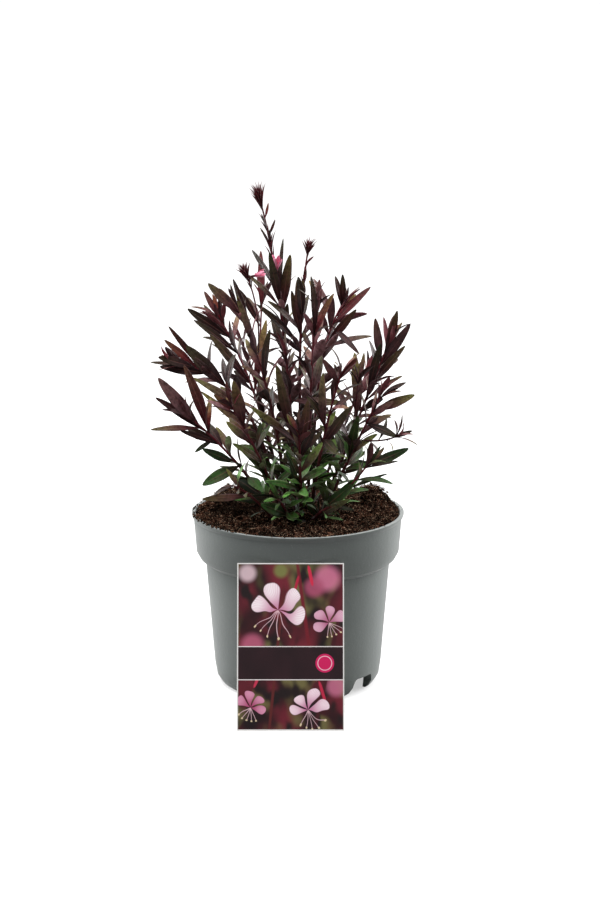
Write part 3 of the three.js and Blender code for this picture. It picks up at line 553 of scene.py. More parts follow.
def card_print(shade):
    flat = shade.node("UVMap")
    u = shade.node("SeparateXYZ", {0: flat})
    x, y = u * CARD_WIDTH, u.other(1) * CARD_LENGTH
    ground = flat.noise(3.4, 1, 0.4).step(0.34, 0.68).blend(srgb(24, 12, 15), srgb(112, 32, 46))
    ground = flat.noise(4.3, 1, 0.4, noise_dimensions="2D").step(0.46, 0.68).blend(ground, srgb(108, 100, 62))
    ground = flat.noise(7, 1, 0.5, noise_dimensions="2D").step(0.46, 0.74).blend(ground, srgb(30, 18, 20))
    warp = flat.noise(5, 0)
    fold = flat.noise(7, 0, noise_dimensions="2D")
    for cx, cy, size, colour in (
        (70, 118, 9, (212, 120, 152)), (60, 111, 7, (176, 82, 112)), (12, 66, 8, (190, 96, 124)),
        (8, 122, 6, (224, 196, 204)), (77, 34, 7, (196, 110, 140)), (34, 124, 5, (122, 132, 72)),
    ):
        spot = ((x - cx) ** 2 + (y - cy) ** 2) ** 0.5
        ground = (spot.step(size * 1.5, size * 0.6) * 0.8).blend(ground, srgb(*colour))
    for start, long, slope, girth, colour, blur in (
        ((52, 92), 46, -0.14, 1.4, (112, 26, 38), 0.9), ((30, 50), 60, 0.1, 1.1, (92, 34, 34), 0.9),
        ((70, 46), 50, 0.22, 1.6, (66, 20, 28), 0.9), ((57, 120), 8, -0.2, 1.3, (206, 44, 74), 0.5),
        ((46, 113), 7, 0.25, 1.1, (176, 34, 62), 0.5), ((16, 40), 7, 0.4, 1.2, (196, 52, 80), 0.5),
        ((66, 30), 8, -0.3, 1.2, (188, 40, 70), 0.5),
    ):
        ground = card_streak(x, y, ground, start, long, slope, girth, srgb(*colour), blur)
    for cx, cy, size, turn, tint, deep in (
        (72, 84, 13, -0.5, (226, 176, 198), (178, 96, 132)),
        (11, 18, 12, 0.4, (220, 150, 180), (170, 70, 110)),
        (31, 92, 22, 0.3, (254, 240, 245), (206, 138, 170)),
        (56, 16, 16, -0.2, (250, 226, 236), (196, 120, 158)),
    ):
        bent = size * 0.42
        ground = card_flower(
            x - cx + (warp - 0.5) * bent, y - cy + (fold - 0.5) * bent, ground, size, turn,
            srgb(*tint), srgb(*deep),
        )
    band = abs(y - STRIPE_MIDDLE)
    glow = (flat.noise(5, 2, 0.4) * 0.8).blend(STRIPE_DARK, STRIPE_GLOW)
    ground = within(band, STRIPE_HALF + STRIPE_EDGE, 0.1).blend(ground, STRIPE_PALE)
    ground = within(band, STRIPE_HALF, 0.1).blend(ground, glow)
    disc = ((x - DISC_X) ** 2 + (y - STRIPE_MIDDLE) ** 2) ** 0.5
    ground = within(disc, DISC_RADIUS, 0.15).blend(ground, DISC_MAGENTA)
    ground = within(abs(disc - RING_RADIUS), RING_HALF, 0.125).blend(ground, RING_PINK)
    across, up = abs(x - CARD_WIDTH / 2) - CARD_WIDTH / 2, abs(y - CARD_LENGTH / 2) - CARD_LENGTH / 2
    edge = x.math("MAXIMUM", across, up)
    return edge.step(-CARD_MARGIN - 0.1, 0.1 - CARD_MARGIN).blend(ground, CARD_PAPER)


def card_relief(shade):
    return shade.place().noise(700, 2)


card = bmesh.new()
sheet = bmesh.ops.create_grid(card, x_segments=8, y_segments=12, size=0.5)["verts"]
bmesh.ops.scale(card, vec=(CARD_WIDTH, CARD_LENGTH, 1), verts=sheet)
bmesh.ops.translate(card, vec=(0, CARD_LENGTH / 2, CARD_THICKNESS), verts=sheet)
uv = card.loops.layers.uv.verify()
front = card.faces[:]
for face in front:
    for corner in face.loops:
        corner[uv].uv = corner.vert.co.x / CARD_WIDTH + 0.5, corner.vert.co.y / CARD_LENGTH
back = bmesh.ops.extrude_face_region(card, geom=front)["geom"]
bmesh.ops.translate(card, vec=(0, 0, -CARD_THICKNESS), verts=points_of(back))
for face in set(card.faces) - set(front):
    for corner in face.loops:
        corner[uv].uv = 3, 3
lean = Matrix.Rotation(math.pi / 2 - CARD_LEAN, 4, "X")
card_lift = CARD_THICKNESS * math.sin(CARD_LEAN)
card_top = card_lift + CARD_LENGTH * math.cos(CARD_LEAN)
band_radius = np.interp(card_top, (BAND_LOW[1], BAND_TOP[1]), (BAND_LOW[0], BAND_TOP[0]))
card_y = -band_radius - GAP - CARD_LENGTH * math.sin(CARD_LEAN)
bmesh.ops.transform(card, verts=card.verts, matrix=Matrix.Translation((CARD_X, card_y, card_lift)) @ lean)
laminate = finish("card_print", card_print, rough=0.32, bump=card_relief, height=0.00005)
picture = piece("picture_card", card, laminate, "label_card")
picture.data.shade_flat()

# Leafy stems
# Wiry stems sunk in the peat, each with narrow lance-shaped leaves set round it by the golden angle. They
# are dark wine red when young, greyer underneath, olive towards their tips and green low on the plant.

# In millimetres: the stem's foot, the point it leans towards and its tip; the shares of its length between
# which leaves stand round it, how many, and the longest; a head of buds as its count, their length and
# how far it opens; then single leaves as their start along the stem, tip x, y, z and width.
STEMS = {
    "stem_spike_tall": dict(
        foot=(-3, 11), pull=(-6, 8, 300), tip=(-29, 2, 391), bare=0.1, reach=0.6, leaves=14, long=42,
        head=(12, 15, 0.3), set=[
        (0.65, -37, 4, 354, 7), (0.61, -27, -10, 356, 8), (0.63, -10, 1, 361, 5), (0.57, -6, 8, 350, 10),
        (0.6, -42, -4, 336, 6), (0.88, -29, -1, 383, 2.8), (0.93, -23, 4, 391, 2.8),
        (0.86, -19, 0, 378, 2.8), (0.82, -30, 0, 372, 3), (0.83, -22, -3, 371, 2.6)]),
    "stem_spike_right": dict(
        foot=(5, 15), pull=(-3, 10, 280), tip=(8, 6, 352), bare=0.1, reach=0.7, leaves=13, long=42,
        head=(9, 10, 0.55), set=[
        (0.68, 0, -4, 334, 9), (0.76, 4, 0, 330, 6), (0.82, 6, 8, 341, 4), (0.62, -25, -8, 315, 7),
        (0.56, -34, -10, 313, 8), (0.6, -11, -2, 326, 7), (0.64, -4, 3, 331, 9), (0.93, 13, 4, 348, 2.6)]),
    "stem_top_right": dict(
        foot=(9, 6), pull=(8, -11, 241), tip=(15, -26, 317), leaves=12, long=40,
        set=[(0.82, 10, -33, 340, 7), (0.9, 17, -28, 336, 7), (0.8, 29, -35, 326, 9)]),
    "stem_right_high": dict(
        foot=(14, 13), pull=(8, 36, 265), tip=(38, 46, 304), bare=0.2, leaves=9, long=40, set=[
        (0.82, 12, 45, 324, 8), (0.95, 30, 50, 325, 6), (0.97, 36, 47, 326, 6), (0.8, 60, 46, 317, 8),
        (0.68, 48, 33, 301, 8), (0.8, 51, 14, 265, 6), (0.66, 61, 28, 279, 7)]),
    "stem_right": dict(
        foot=(16, 3), pull=(43, 0, 205), tip=(75, -4, 286), bare=0.2, leaves=11, long=42, set=[
        (0.9, 79, -4, 307, 8), (0.84, 90, -2, 296, 9), (0.88, 84, 8, 295, 6), (0.86, 61, -10, 302, 8),
        (0.74, 86, -12, 280, 8), (0.66, 84, -16, 256, 8), (0.7, 66, -16, 283, 8), (0.55, 50, -14, 268, 9),
        (0.6, 38, -16, 265, 10)],
        sides=[dict(at=0.5, pull=(46, -12, 232), tip=(48, -20, 252), leaves=5, long=34)]),
    "stem_right_low": dict(
        foot=(17, -6), pull=(43, -18, 195), tip=(66, -34, 245), bare=0.2, leaves=8, long=36, set=[
        (0.85, 93, -36, 245, 9), (0.95, 86, -28, 253, 7), (0.5, 64, -26, 211, 8), (0.8, 76, -38, 240, 7),
        (0.75, 79, -40, 211, 8), (0.45, 48, -32, 228, 9)],
        sides=[dict(at=0.62, pull=(66, -30, 204), tip=(78, -40, 212), leaves=4, long=24)]),
    "stem_right_front": dict(
        foot=(12, -13), pull=(34, -40, 162), tip=(56, -48, 192), leaves=7, long=28, set=[
        (0.97, 88, -50, 205, 9), (0.93, 80, -44, 193, 4), (0.6, 72, -44, 183, 5), (0.35, 46, -44, 179, 9)]),
    "stem_front": dict(
        foot=(3, -12), pull=(2, -36, 182), tip=(1, -56, 220), bare=0.08, leaves=10, long=34, set=[
        (0.72, -9, -60, 235, 8), (0.8, 6, -60, 246, 9), (0.68, 12, -58, 227, 7), (0.35, -27, -54, 179, 7),
        (0.2, -10, -42, 201, 6)]),
    "stem_left_top": dict(
        foot=(-10, 11), pull=(-28, 26, 236), tip=(-64, 38, 293), bare=0.25, leaves=11, long=42, set=[
        (0.86, -90, 40, 300, 9), (0.76, -85, 33, 292, 7), (0.84, -77, 48, 302, 6), (0.55, -25, 40, 292, 9),
        (0.98, -76, 46, 313, 6), (0.95, -69, 40, 312, 5), (0.6, -72, 28, 282, 9), (0.65, -71, 36, 272, 4)],
        sides=[dict(
        at=0.5, pull=(-31, 41, 268), tip=(-29, 54, 306), leaves=5, long=38,
        set=[(0.85, -30, 59, 345, 7), (0.7, -48, 52, 314, 6)])]),
    "stem_spike_left": dict(
        foot=(-8, 4), pull=(-16, -12, 242), tip=(-47, -27, 314), leaves=11, long=42, set=[
        (0.95, -71, -19, 331, 9), (0.88, -63, -25, 325, 8), (0.85, -51, -30, 337, 7),
        (0.75, -48, -34, 325, 7), (0.6, -21, -34, 298, 8)],
        sides=[dict(at=0.72, pull=(-28, -26, 310), tip=(-40, -31, 339), leaves=0, head=(9, 10, 0.55))]),
    "stem_left": dict(
        foot=(-15, 5), pull=(-26, -2, 248), tip=(-94, -12, 265), bare=0.22, leaves=10, long=42, set=[
        (0.82, -103, -12, 296, 6), (0.88, -106, -8, 284, 7), (0.9, -112, -14, 270, 9),
        (0.94, -118, -8, 265, 4), (0.68, -89, -16, 281, 13), (0.78, -82, -22, 272, 6),
        (0.35, -78, -24, 246, 7), (0.5, -84, -22, 256, 8), (0.82, -108, -18, 267, 9)]),
    "stem_left_low": dict(
        foot=(-16, -4), pull=(-42, -20, 186), tip=(-86, -38, 228), bare=0.3, leaves=6, long=40, set=[
        (0.9, -110, -44, 261, 12), (0.8, -90, -36, 270, 11), (0.87, -117, -44, 218, 6),
        (0.72, -93, -42, 216, 6), (0.82, -113, -40, 244, 8), (0.76, -82, -34, 197, 5),
        (0.5, -76, -46, 173, 12), (0.4, -29, -42, 168, 11)]),
    "stem_left_inner": dict(
        foot=(-9, -10), pull=(-26, -34, 191), tip=(-52, -58, 241), leaves=9, long=34, set=[
        (0.95, -66, -62, 251, 6), (0.9, -72, -58, 245, 6), (0.8, -50, -64, 263, 11),
        (0.5, -52, -58, 211, 7), (0.3, -52, -62, 204, 8)]),
    "stem_left_front": dict(
        foot=(-15, -14), pull=(-34, -34, 164), tip=(-52, -46, 174), bare=0.2, leaves=6, long=26, low=True,
        set=[(0.6, -77, -40, 161, 7)]),
    "stem_front_right": dict(
        foot=(7, -20), pull=(18, -36, 154), tip=(32, -48, 158), leaves=8, long=30, low=True,
        set=[(0.5, 45, -46, 176, 9), (0.3, 42, -58, 166, 7)]),
    "stem_front_left": dict(
        foot=(-5, -20), pull=(-10, -34, 156), tip=(-17, -46, 163), leaves=8, long=30, low=True,
        set=[(0.3, -30, -48, 159, 12)]),
    "stem_back": dict(
        foot=(0, 22), pull=(4, 46, 200), tip=(18, 92, 254), bare=0.2, leaves=6, long=42),
    "stem_back_left": dict(
        foot=(-11, 20), pull=(-24, 44, 206), tip=(-46, 84, 264), bare=0.2, leaves=5, long=42),
    "stem_back_right": dict(
        foot=(13, 22), pull=(32, 46, 190), tip=(58, 74, 242), bare=0.2, leaves=6, long=42),
    "stem_middle_left": dict(
        foot=(-2, -3), pull=(-3, -16, 210), tip=(-9, -24, 272), bare=0.12, leaves=9, long=38,
        set=[(0.72, 36, -36, 235, 8), (0.5, -38, -30, 234, 7), (0.5, -17, -34, 270, 10)]),
    "stem_middle_right": dict(
        foot=(9, -5), pull=(17, -28, 203), tip=(34, -48, 265), leaves=10, long=40, set=[
        (0.93, 19, -52, 277, 7), (0.55, 31, -58, 202, 9), (0.5, 43, -54, 241, 9), (0.6, 20, -54, 268, 8)]),
}
FOOT_DEPTH = 9
STEM_FOOT_RADIUS, STEM_TIP_RADIUS, STEM_STEP, STEM_RUN = 1.7, 0.8, 5, 6
PETIOLE_WIDTH = 1.7
DISC_STEP, LEAST_DISC = 7, 3
RUFFLE = 0.07
LEAF_TURN = math.radians(137.5)
LOW_OPENING, OPENING, TIP_OPENING = 70, 58, 20
LOW_LIFT, LIFT, FILL_LIFT = 0.1, 0.28, 0.12
TRIES = 12
CLEARANCE, OWN_CLEARANCE = 1.3, 0.2
LEAF_ROOT, OWN_LEAF_ROOT = 0.2, 0.3
RIM_WIDTH, RIM_CLEARANCE = 9, 3
UP = np.array([0.0, 0.0, 1.0])


class Dice:
    """A seeded stream of numbers, the same that lays out the solid plant."""

    def __init__(self, seed):
        self.state = seed * 7919 + 17
        for _ in range(3):
            self.between(0, 1)

    def between(self, low, high):
        self.state = (self.state * 1664525 + 1013904223) % 4294967296
        return low + (high - low) * self.state / 4294967296


def mix(first, second, share):
    return first + (second - first) * share


def unit(vector):
    return vector / np.linalg.norm(vector)


def off(along, turn):
    """The direction, or one for each turn, that stands off a way at an angle round it."""
    first = unit(np.cross(along, (0, 1, 0)))
    return np.multiply.outer(np.cos(turn), first) + np.multiply.outer(np.sin(turn), np.cross(along, first))


def opened(along, outward, angle):
    return along * math.cos(angle) + outward * math.sin(angle)


class Curve:
    def __init__(self, start, pull, tip):
        self.start, self.pull, self.tip = (np.array(p, float) for p in (start, pull, tip))

    def at(self, t):
        return self.start * (1 - t) ** 2 + self.pull * (2 * (1 - t) * t) + self.tip * (t * t)

    def along(self, t):
        return unit((self.pull - self.start) * (1 - t) + (self.tip - self.pull) * t)

    def length(self):
        return sum(np.linalg.norm(self.at((i + 1) / 16) - self.at(i / 16)) for i in range(16))


class Blade:
    """A leaf or petal: an arched midrib that leaves the stem along one way and bends back from its face."""

    def __init__(self, start, along, face, length, width, curl, roll, fold, wave):
        self.start, self.length, self.width = start, length, width
        self.curl, self.fold, self.wave = curl, fold, wave
        self.along = unit(along)
        face = unit(face - self.along * np.dot(face, self.along))
        side = np.cross(self.along, face)
        self.face = opened(face, side, roll)
        self.side = np.cross(self.along, self.face)

    def rib(self, u):
        """The midrib's points and the directions up from the blade there, for an array of shares u."""
        angle = self.curl * np.asarray(u)[..., None]
        ahead = self.length * np.sin(angle) / self.curl
        back = self.length * (1 - np.cos(angle)) / self.curl
        at = self.start + self.along * ahead - self.face * back
        return at, self.face * np.cos(angle) + self.along * np.sin(angle)

    def half_width(self, u, least=PETIOLE_WIDTH / 2):
        outline = (u / 0.55) * (np.maximum(0, 1 - u) / 0.45) ** 0.82
        return np.maximum(least, self.width / 2 * outline)

    def discs(self):
        count = math.ceil(self.length / DISC_STEP)
        u = np.minimum(0.98, (np.arange(count + 1) + 0.5) / (count + 0.5))
        at, normal = self.rib(u)
        return at, normal, np.hypot(self.half_width(u), LEAST_DISC), u


placed = []
centres, reaches = np.zeros((0, 3)), np.zeros(0)


def extent(discs):
    centre = discs[0].mean(0)
    return centre, (np.linalg.norm(discs[0] - centre, axis=1) + discs[2]).max()


def place(owner, kind, discs):
    global centres, reaches
    centre, reach = extent(discs)
    placed.append((owner, kind, discs))
    centres, reaches = np.vstack([centres, centre]), np.append(reaches, reach)


def apart(a, b, clearance):
    """Which pairs of flat discs, or balls where the normal is zero, stay apart by the clearance."""
    between = b[0][None] - a[0][:, None]
    tilt = np.sqrt(np.maximum(0, 1 - (a[1] @ b[1].T) ** 2))
    free = np.linalg.norm(between, axis=2) > a[2][:, None] + b[2][None] + clearance
    free |= np.abs((between * a[1][:, None]).sum(2)) > b[2][None] * tilt + clearance
    return free | (np.abs((between * b[1][None]).sum(2)) > a[2][:, None] * tilt + clearance)


def is_clear(owner, discs, ground=CLEARANCE, own_gap=OWN_CLEARANCE):
    at, normal, radius, u = discs
    seen = u >= LEAF_ROOT
    low = at[:, 2] - radius * np.sqrt(np.maximum(0, 1 - normal[:, 2] ** 2))
    out = np.hypot(at[:, 0], at[:, 1])
    if (seen & (low < soil_height(at[:, 0], at[:, 1]) + ground) & (out < LIP_RADIUS)).any():
        return False
    if (seen & (out + radius > LIP_RADIUS - RIM_WIDTH) & (low < POT_HEIGHT + RIM_CLEARANCE)).any():
        return False
    centre, reach = extent(discs)
    for i in np.flatnonzero(np.linalg.norm(centres - centre, axis=1) <= reaches + reach + CLEARANCE):
        other, kind, theirs = placed[i]
        own = other == owner
        if own and kind == "stem":
            continue
        mine = discs
        if own:
            mine = [part[u >= OWN_LEAF_ROOT] for part in discs]
            theirs = [part[theirs[3] >= OWN_LEAF_ROOT] for part in theirs]
        if not apart(mine, theirs, own_gap if own else ground).all():
            return False
    return True


class Shoot:
    def __init__(self, owner, seed, curve, plan, thick):
        self.owner, self.seed, self.curve, self.plan, self.thick = owner, seed, curve, plan, thick
        self.blades = []

    def radius(self, t):
        return mix(self.thick, STEM_TIP_RADIUS, t)


shoots = []


def add_shoot(owner, seed, curve, plan, thick):
    shoot = Shoot(owner, seed, curve, plan, thick)
    shoots.append(shoot)
    steps = math.ceil(curve.length() / STEM_STEP)
    t = np.arange(steps + 1) / steps
    at = np.array([curve.at(share) for share in t])
    radius = np.hypot(shoot.radius(t) + GAP, 2.5) - 1
    for i in range(0, steps + 1, STEM_RUN):
        some = slice(i, i + STEM_RUN + 1)
        place(owner, "stem", (at[some], np.zeros_like(at[some]), radius[some], np.ones_like(radius[some])))
    for i, side in enumerate(plan.get("sides", ())):
        branch = Curve(curve.at(side["at"]), side["pull"], side["tip"])
        add_shoot(owner, seed + 101 + i, branch, side, shoot.radius(side["at"]) * 0.8)


for i, (name, plan) in enumerate(STEMS.items()):
    x, y = plan["foot"]
    foot = (x, y, soil_height(x, y) - FOOT_DEPTH + GAP)
    add_shoot(name, i + 1, Curve(foot, plan["pull"], plan["tip"]), plan, STEM_FOOT_RADIUS)

FLOWERS = {
    "flower_upper": dict(stem="stem_spike_tall", shoot=0, at=0.72, heading=(0.04, -0.55, 0.83), petal=14),
    "flower_lower": dict(stem="stem_spike_left", shoot=1, at=0.96, heading=(0.93, -0.2, 0.3), petal=9),
}
PETALS = 4
PETAL_WIDTH = 0.46
CALYX_RADIUS, CALYX_LENGTH = 0.9, 5


def lay_flower(plan):
    shoot = [s for s in shoots if s.owner == plan["stem"]][plan["shoot"]]
    along = unit(np.array(plan["heading"]))
    stem = shoot.curve.along(plan["at"])
    outward = unit(along - stem * np.dot(along, stem))
    seat = shoot.radius(plan["at"]) + GAP + CALYX_RADIUS * abs(np.dot(along, stem))
    start = shoot.curve.at(plan["at"]) + outward * seat
    mouth = start + along * CALYX_LENGTH
    petals = []
    for i in range(PETALS):
        turn = (i + 0.5) * (math.pi / 2) + 0.2 * (i % 2)
        side = off(along, turn)
        lead = opened(along, side, 0.32 + 0.16 * (i % 2))
        root = mouth + side * (CALYX_RADIUS * 0.7)
        size = plan["petal"]
        petals.append(Blade(root, lead, along, size, size * PETAL_WIDTH, -0.4, 0, 0.2, 0.05))
    return along, start, mouth, petals


flowers = {name: lay_flower(plan) for name, plan in FLOWERS.items()}
for name, (_, _, _, petals) in flowers.items():
    for blade in petals:
        place(name, "leaf", blade.discs())


def set_leaves(shoot):
    dice = Dice(shoot.seed + 500)
    for share, x, y, z, width in shoot.plan.get("set", ()):
        start = shoot.curve.at(share)
        for attempt in range(TRIES):
            tip = np.array([x, y, z], float)
            tip += np.array([dice.between(-1, 1), dice.between(-2.5, 2.5), dice.between(-1, 1)]) * attempt
            curl, roll = dice.between(0.15, 0.6), dice.between(-0.5, 0.5)
            fold, wave = dice.between(0.1, 0.3), dice.between(-0.1, 0.1)
            chord = tip - start
            length = np.linalg.norm(chord) * curl / 2 / math.sin(curl / 2)
            chord = unit(chord)
            face = np.array([0, -0.8, 0.6])
            face = unit(face - chord * np.dot(face, chord))
            face = opened(face, np.cross(chord, face), roll)
            heading = opened(chord, face, curl / 2)
            blade = Blade(start, heading, face, length, width, curl, 0, fold, wave)
            if keep(shoot, blade, share):
                break


def keep(shoot, blade, share, **clearances):
    """Sets a leaf at a share of the shoot's length, unless it would touch something there."""
    clear = is_clear(shoot.owner, blade.discs(), **clearances)
    if clear:
        place(shoot.owner, "leaf", blade.discs())
        blade.share = share
        shoot.blades.append(blade)
    return clear


def grow_leaves(shoot):
    plan, curve, dice = shoot.plan, shoot.curve, Dice(shoot.seed)
    start = dice.between(0, 2 * math.pi)
    opening, lift = (LOW_OPENING, LOW_LIFT) if plan.get("low") else (OPENING, LIFT)
    for i in range(plan["leaves"]):
        k = (i + 0.5) / plan["leaves"]
        t = mix(plan.get("bare", 0.15), plan.get("reach", 0.99), k)
        along = curve.along(t)
        for attempt in range(TRIES):
            spread = 1 + 0.5 * attempt
            turn = start + i * LEAF_TURN + dice.between(-0.3, 0.3) * spread
            open_ = math.radians(mix(opening, TIP_OPENING, k) + dice.between(-7, 7) * spread)
            heading = opened(along, off(along, turn), open_) + UP * lift
            size = 1 - 0.45 * k**3 - 0.3 * (1 - k) ** 2
            length = plan["long"] * size * dice.between(0.86, 1.12) * (1 - 0.035 * attempt)
            width = length * dice.between(0.21, 0.28)
            curl = mix(0.7, 0.3, k) + dice.between(-0.25, 0.35)
            roll, fold, wave = dice.between(-1.1, 1.1), dice.between(0.1, 0.35), dice.between(-0.1, 0.1)
            blade = Blade(curve.at(t), heading, along, length, width, curl, roll, fold, wave)
            if keep(shoot, blade, t):
                break


BARE_HEIGHT, BARE_REACH = 168, 30
FILL_TRIES, FILL_CLEARANCE = 8, -1.2
PAST_BOX = 4.5
box_low, box_high = (np.array(corner) * 1000 - (axis_x * 1000, axis_y * 1000, 0) for corner in cad_box)


def in_box(blade):
    """Whether a leaf ends within the solid plant's box, or only just past it."""
    tip = blade.rib(1.0)[0]
    return (tip > box_low - PAST_BOX).all() and (tip < box_high + PAST_BOX).all()


def fill_leaves(shoot, low, high, count, longest, slim, opening, own_gap):
    """Small leaves round a stretch of the stem, too many and too small for the solid plant."""
    curve, dice = shoot.curve, Dice(shoot.seed + round(700 * high) + count)
    first_turn = dice.between(0, 2 * math.pi)
    for i in range(count):
        t = mix(low, high, (i + 0.5) / count)
        along, start = curve.along(t), curve.at(t)
        if start[2] < BARE_HEIGHT and math.hypot(start[0], start[1]) > BARE_REACH:
            continue
        for attempt in range(FILL_TRIES):
            turn = first_turn + i * LEAF_TURN + dice.between(-0.4, 0.4) * (1 + attempt)
            open_ = math.radians(opening + dice.between(-12, 12) * (1 + 0.3 * attempt))
            heading = opened(along, off(along, turn), open_) + UP * FILL_LIFT
            length = longest * dice.between(0.6, 1.1) * (1 - 0.06 * attempt)
            width = length * slim * dice.between(0.8, 1.2)
            curl, roll = dice.between(0.15, 0.9), dice.between(-1.2, 1.2)
            fold, wave = dice.between(0.1, 0.4), dice.between(-0.12, 0.12)
            blade = Blade(start, heading, along, length, width, curl, roll, fold, wave)
            if in_box(blade) and keep(shoot, blade, t, ground=FILL_CLEARANCE, own_gap=own_gap):
                break


for shoot in shoots:
    set_leaves(shoot)
for shoot in shoots:
    grow_leaves(shoot)
for shoot in shoots:
    if shoot.plan.get("low"):
        fill_leaves(shoot, 0.1, 0.98, count=14, longest=26, slim=0.36, opening=50, own_gap=-2)
    elif "foot" in shoot.plan:
        bare_from = 0.62 if "head" in shoot.plan else 0.85
        fill_leaves(shoot, 0.08, 0.45, count=13, longest=31, slim=0.34, opening=46, own_gap=-2)
        fill_leaves(shoot, 0.42, bare_from, count=6, longest=30, slim=0.24, opening=40, own_gap=-1.5)
    if "head" not in shoot.plan and not shoot.plan.get("low"):
        fill_leaves(shoot, 0.9, 1, count=6, longest=26, slim=0.2, opening=17, own_gap=-2)

WINE = srgb(100, 22, 33)
DARK = srgb(48, 28, 30)
# The undersides' colour, and on the tops of leaves also the colour of their painted sheen.
MAUVE = srgb(116, 86, 90)
BRONZE = srgb(108, 80, 48)
OLIVE = srgb(98, 106, 54)
GREEN = srgb(82, 132, 56)
DEEP_GREEN = srgb(16, 38, 18)
PALE_GREEN = srgb(132, 156, 102)
STEM_RED = srgb(104, 36, 46)
STEM_BROWN = srgb(46, 26, 22)
BUD_RED = srgb(70, 16, 24)
BUD_TIP = srgb(136, 52, 60)
BLOTCH_RED, RIB_PINK, EDGE_DARK = srgb(104, 40, 40), srgb(138, 84, 78), srgb(36, 12, 16)
SHADE_BLACK = (0.006, 0.004, 0.003)
PETIOLE_THICKNESS, LEAF_THICKNESS, TIP_THINNING = 0.62, 0.26, 0.12
RIB_DEPTH, RIB_WIDTH = 0.14, 0.2
STEM_SLIM, JOINT_SWELL, JOINT_LENGTH, MOST_SWELL = 0.86, 0.2, 2.2, 0.3
BUD_ROWS, BUD_SIDES, TOP_BUD_GIRTH, LOW_BUD_GIRTH = 7, 5, 0.62, 0.7
LONG_LEAF = 25
BATCH_FACES = 1200


def leaf_shape(blade, least=0.45):
    def shape(along, round_):
        v = np.where(round_ < 0.5, -1 + 4 * round_, 3 - 4 * round_)
        top = np.where(round_ < 0.5, 1, -1)
        swell = np.cos(2 * math.pi * (along - 0.17) / 0.6)
        root = np.clip(along / 0.12, 0, 1)
        half = blade.half_width(along, least) * (1 - RUFFLE * swell) * np.where(along > 0.999, 0, 1)
        half = np.where(along < 0.001, 0.3, half)
        thick = mix(PETIOLE_THICKNESS, LEAF_THICKNESS - TIP_THINNING * along, root)
        thick = thick * np.sqrt(np.maximum(0, 1 - v * v))
        raise_ = blade.fold * half * np.abs(v) ** 1.3 + blade.wave * half * v * swell
        at, normal = blade.rib(along)
        rib = RIB_DEPTH * np.exp(-((v / RIB_WIDTH) ** 2)) * np.where(top < 0, 1, -0.6) * root
        return at + blade.side * (half * v)[:, None] + normal * (raise_ + top * thick - rib)[:, None]

    return shape


def leaf_paint(green, young, chance):
    """Wine red at the root, then dark, bronze or olive to the tip; greener low down and paler underneath,
    with painted shade towards the root, painted sheen on the tops of some leaves, and each leaf's brightness
    scaled at random as painted light and shade.
    """
    olive = chance.uniform(0.25, 1) ** (0.7 if young < 0.5 else 2)
    # Painted light and shade: each leaf's colour is scaled at random, from far darker to far lighter.
    bright = chance.choice([0.26, 0.52, 0.92, 1.4, 2.1]) * chance.uniform(0.85, 1.15) * (1 - 0.1 * green)
    # Painted sheen: the tops of some leaves are greyed towards mauve at random, standing in for their gloss.
    painted_sheen = chance.uniform(0, 1) ** 1.6 * 0.9
    upper = mix(mix(DARK, WINE, np.clip(young * 0.9 + chance.uniform(-0.3, 0.4), 0, 1)), MAUVE, painted_sheen)
    under = mix(MAUVE, WINE, np.clip(young * 0.8 - 0.1 + chance.uniform(-0.2, 0.2), 0, 1))
    leafy = mix(DEEP_GREEN, GREEN, chance.uniform(0, 1) ** 0.7)
    far = mix(mix(BRONZE, OLIVE, chance.uniform(0.35, 1)), leafy, min(1, green * 1.5))

    def paint(along, round_):
        turn = np.clip(green * (0.35 + 1.1 * along) + olive * np.clip(along * 1.7 - 0.6, 0, 1), 0, 1)[:, None]
        top = mix(mix(WINE * 0.7, upper, np.clip(along * 2.6, 0, 1)[:, None]), far, turn)
        below = mix(under, PALE_GREEN, turn * min(1, green * 1.2))
        shadow = np.clip(0.3 + along * 1.5, 0, 1)[:, None]
        return np.where((round_ < 0.5)[:, None], top, below) * bright * shadow

    return paint


def stem_shape(shoot):
    joints, length = [blade.share for blade in shoot.blades], shoot.curve.length()

    def shape(along, round_):
        points = []
        for t, turn in zip(along, round_ * 2 * math.pi):
            near = (math.exp(-(((t - j) * length / JOINT_LENGTH) ** 2)) for j in joints)
            girth = shoot.radius(t) * STEM_SLIM * (1 + min(MOST_SWELL, sum(JOINT_SWELL * n for n in near)))
            if t in (0, 1):
                girth *= 0.01
            points.append(shoot.curve.at(t) + off(shoot.curve.along(t), turn) * girth)
        return points

    return shape


def fade(first, second, rate, later=0, most=1):
    """A paint that goes from one tint to another along a sleeve."""
    return lambda along, round_: mix(first, second, np.clip(along * rate - later, 0, most)[:, None])


def bud_shape(base, heading, out, long, girth):
    """A slim bud with a drawn-out tip that leans outwards."""

    def shape(along, round_):
        shares = [0, 0.15, 0.45, 0.62, 0.8, 0.92, 1]
        profile = girth * np.interp(along, shares, [0.5, 0.7, 0.95, 1, 0.6, 0.3, 0.01])
        side = off(heading, round_ * 2 * math.pi)
        lean = out * (0.14 * long * along**4)[:, None]
        return base + heading * (along * long)[:, None] + lean + side * profile[:, None]

    return shape


bud_paint = fade(BUD_RED, BUD_TIP, 1.6, 0.7, 0.8)


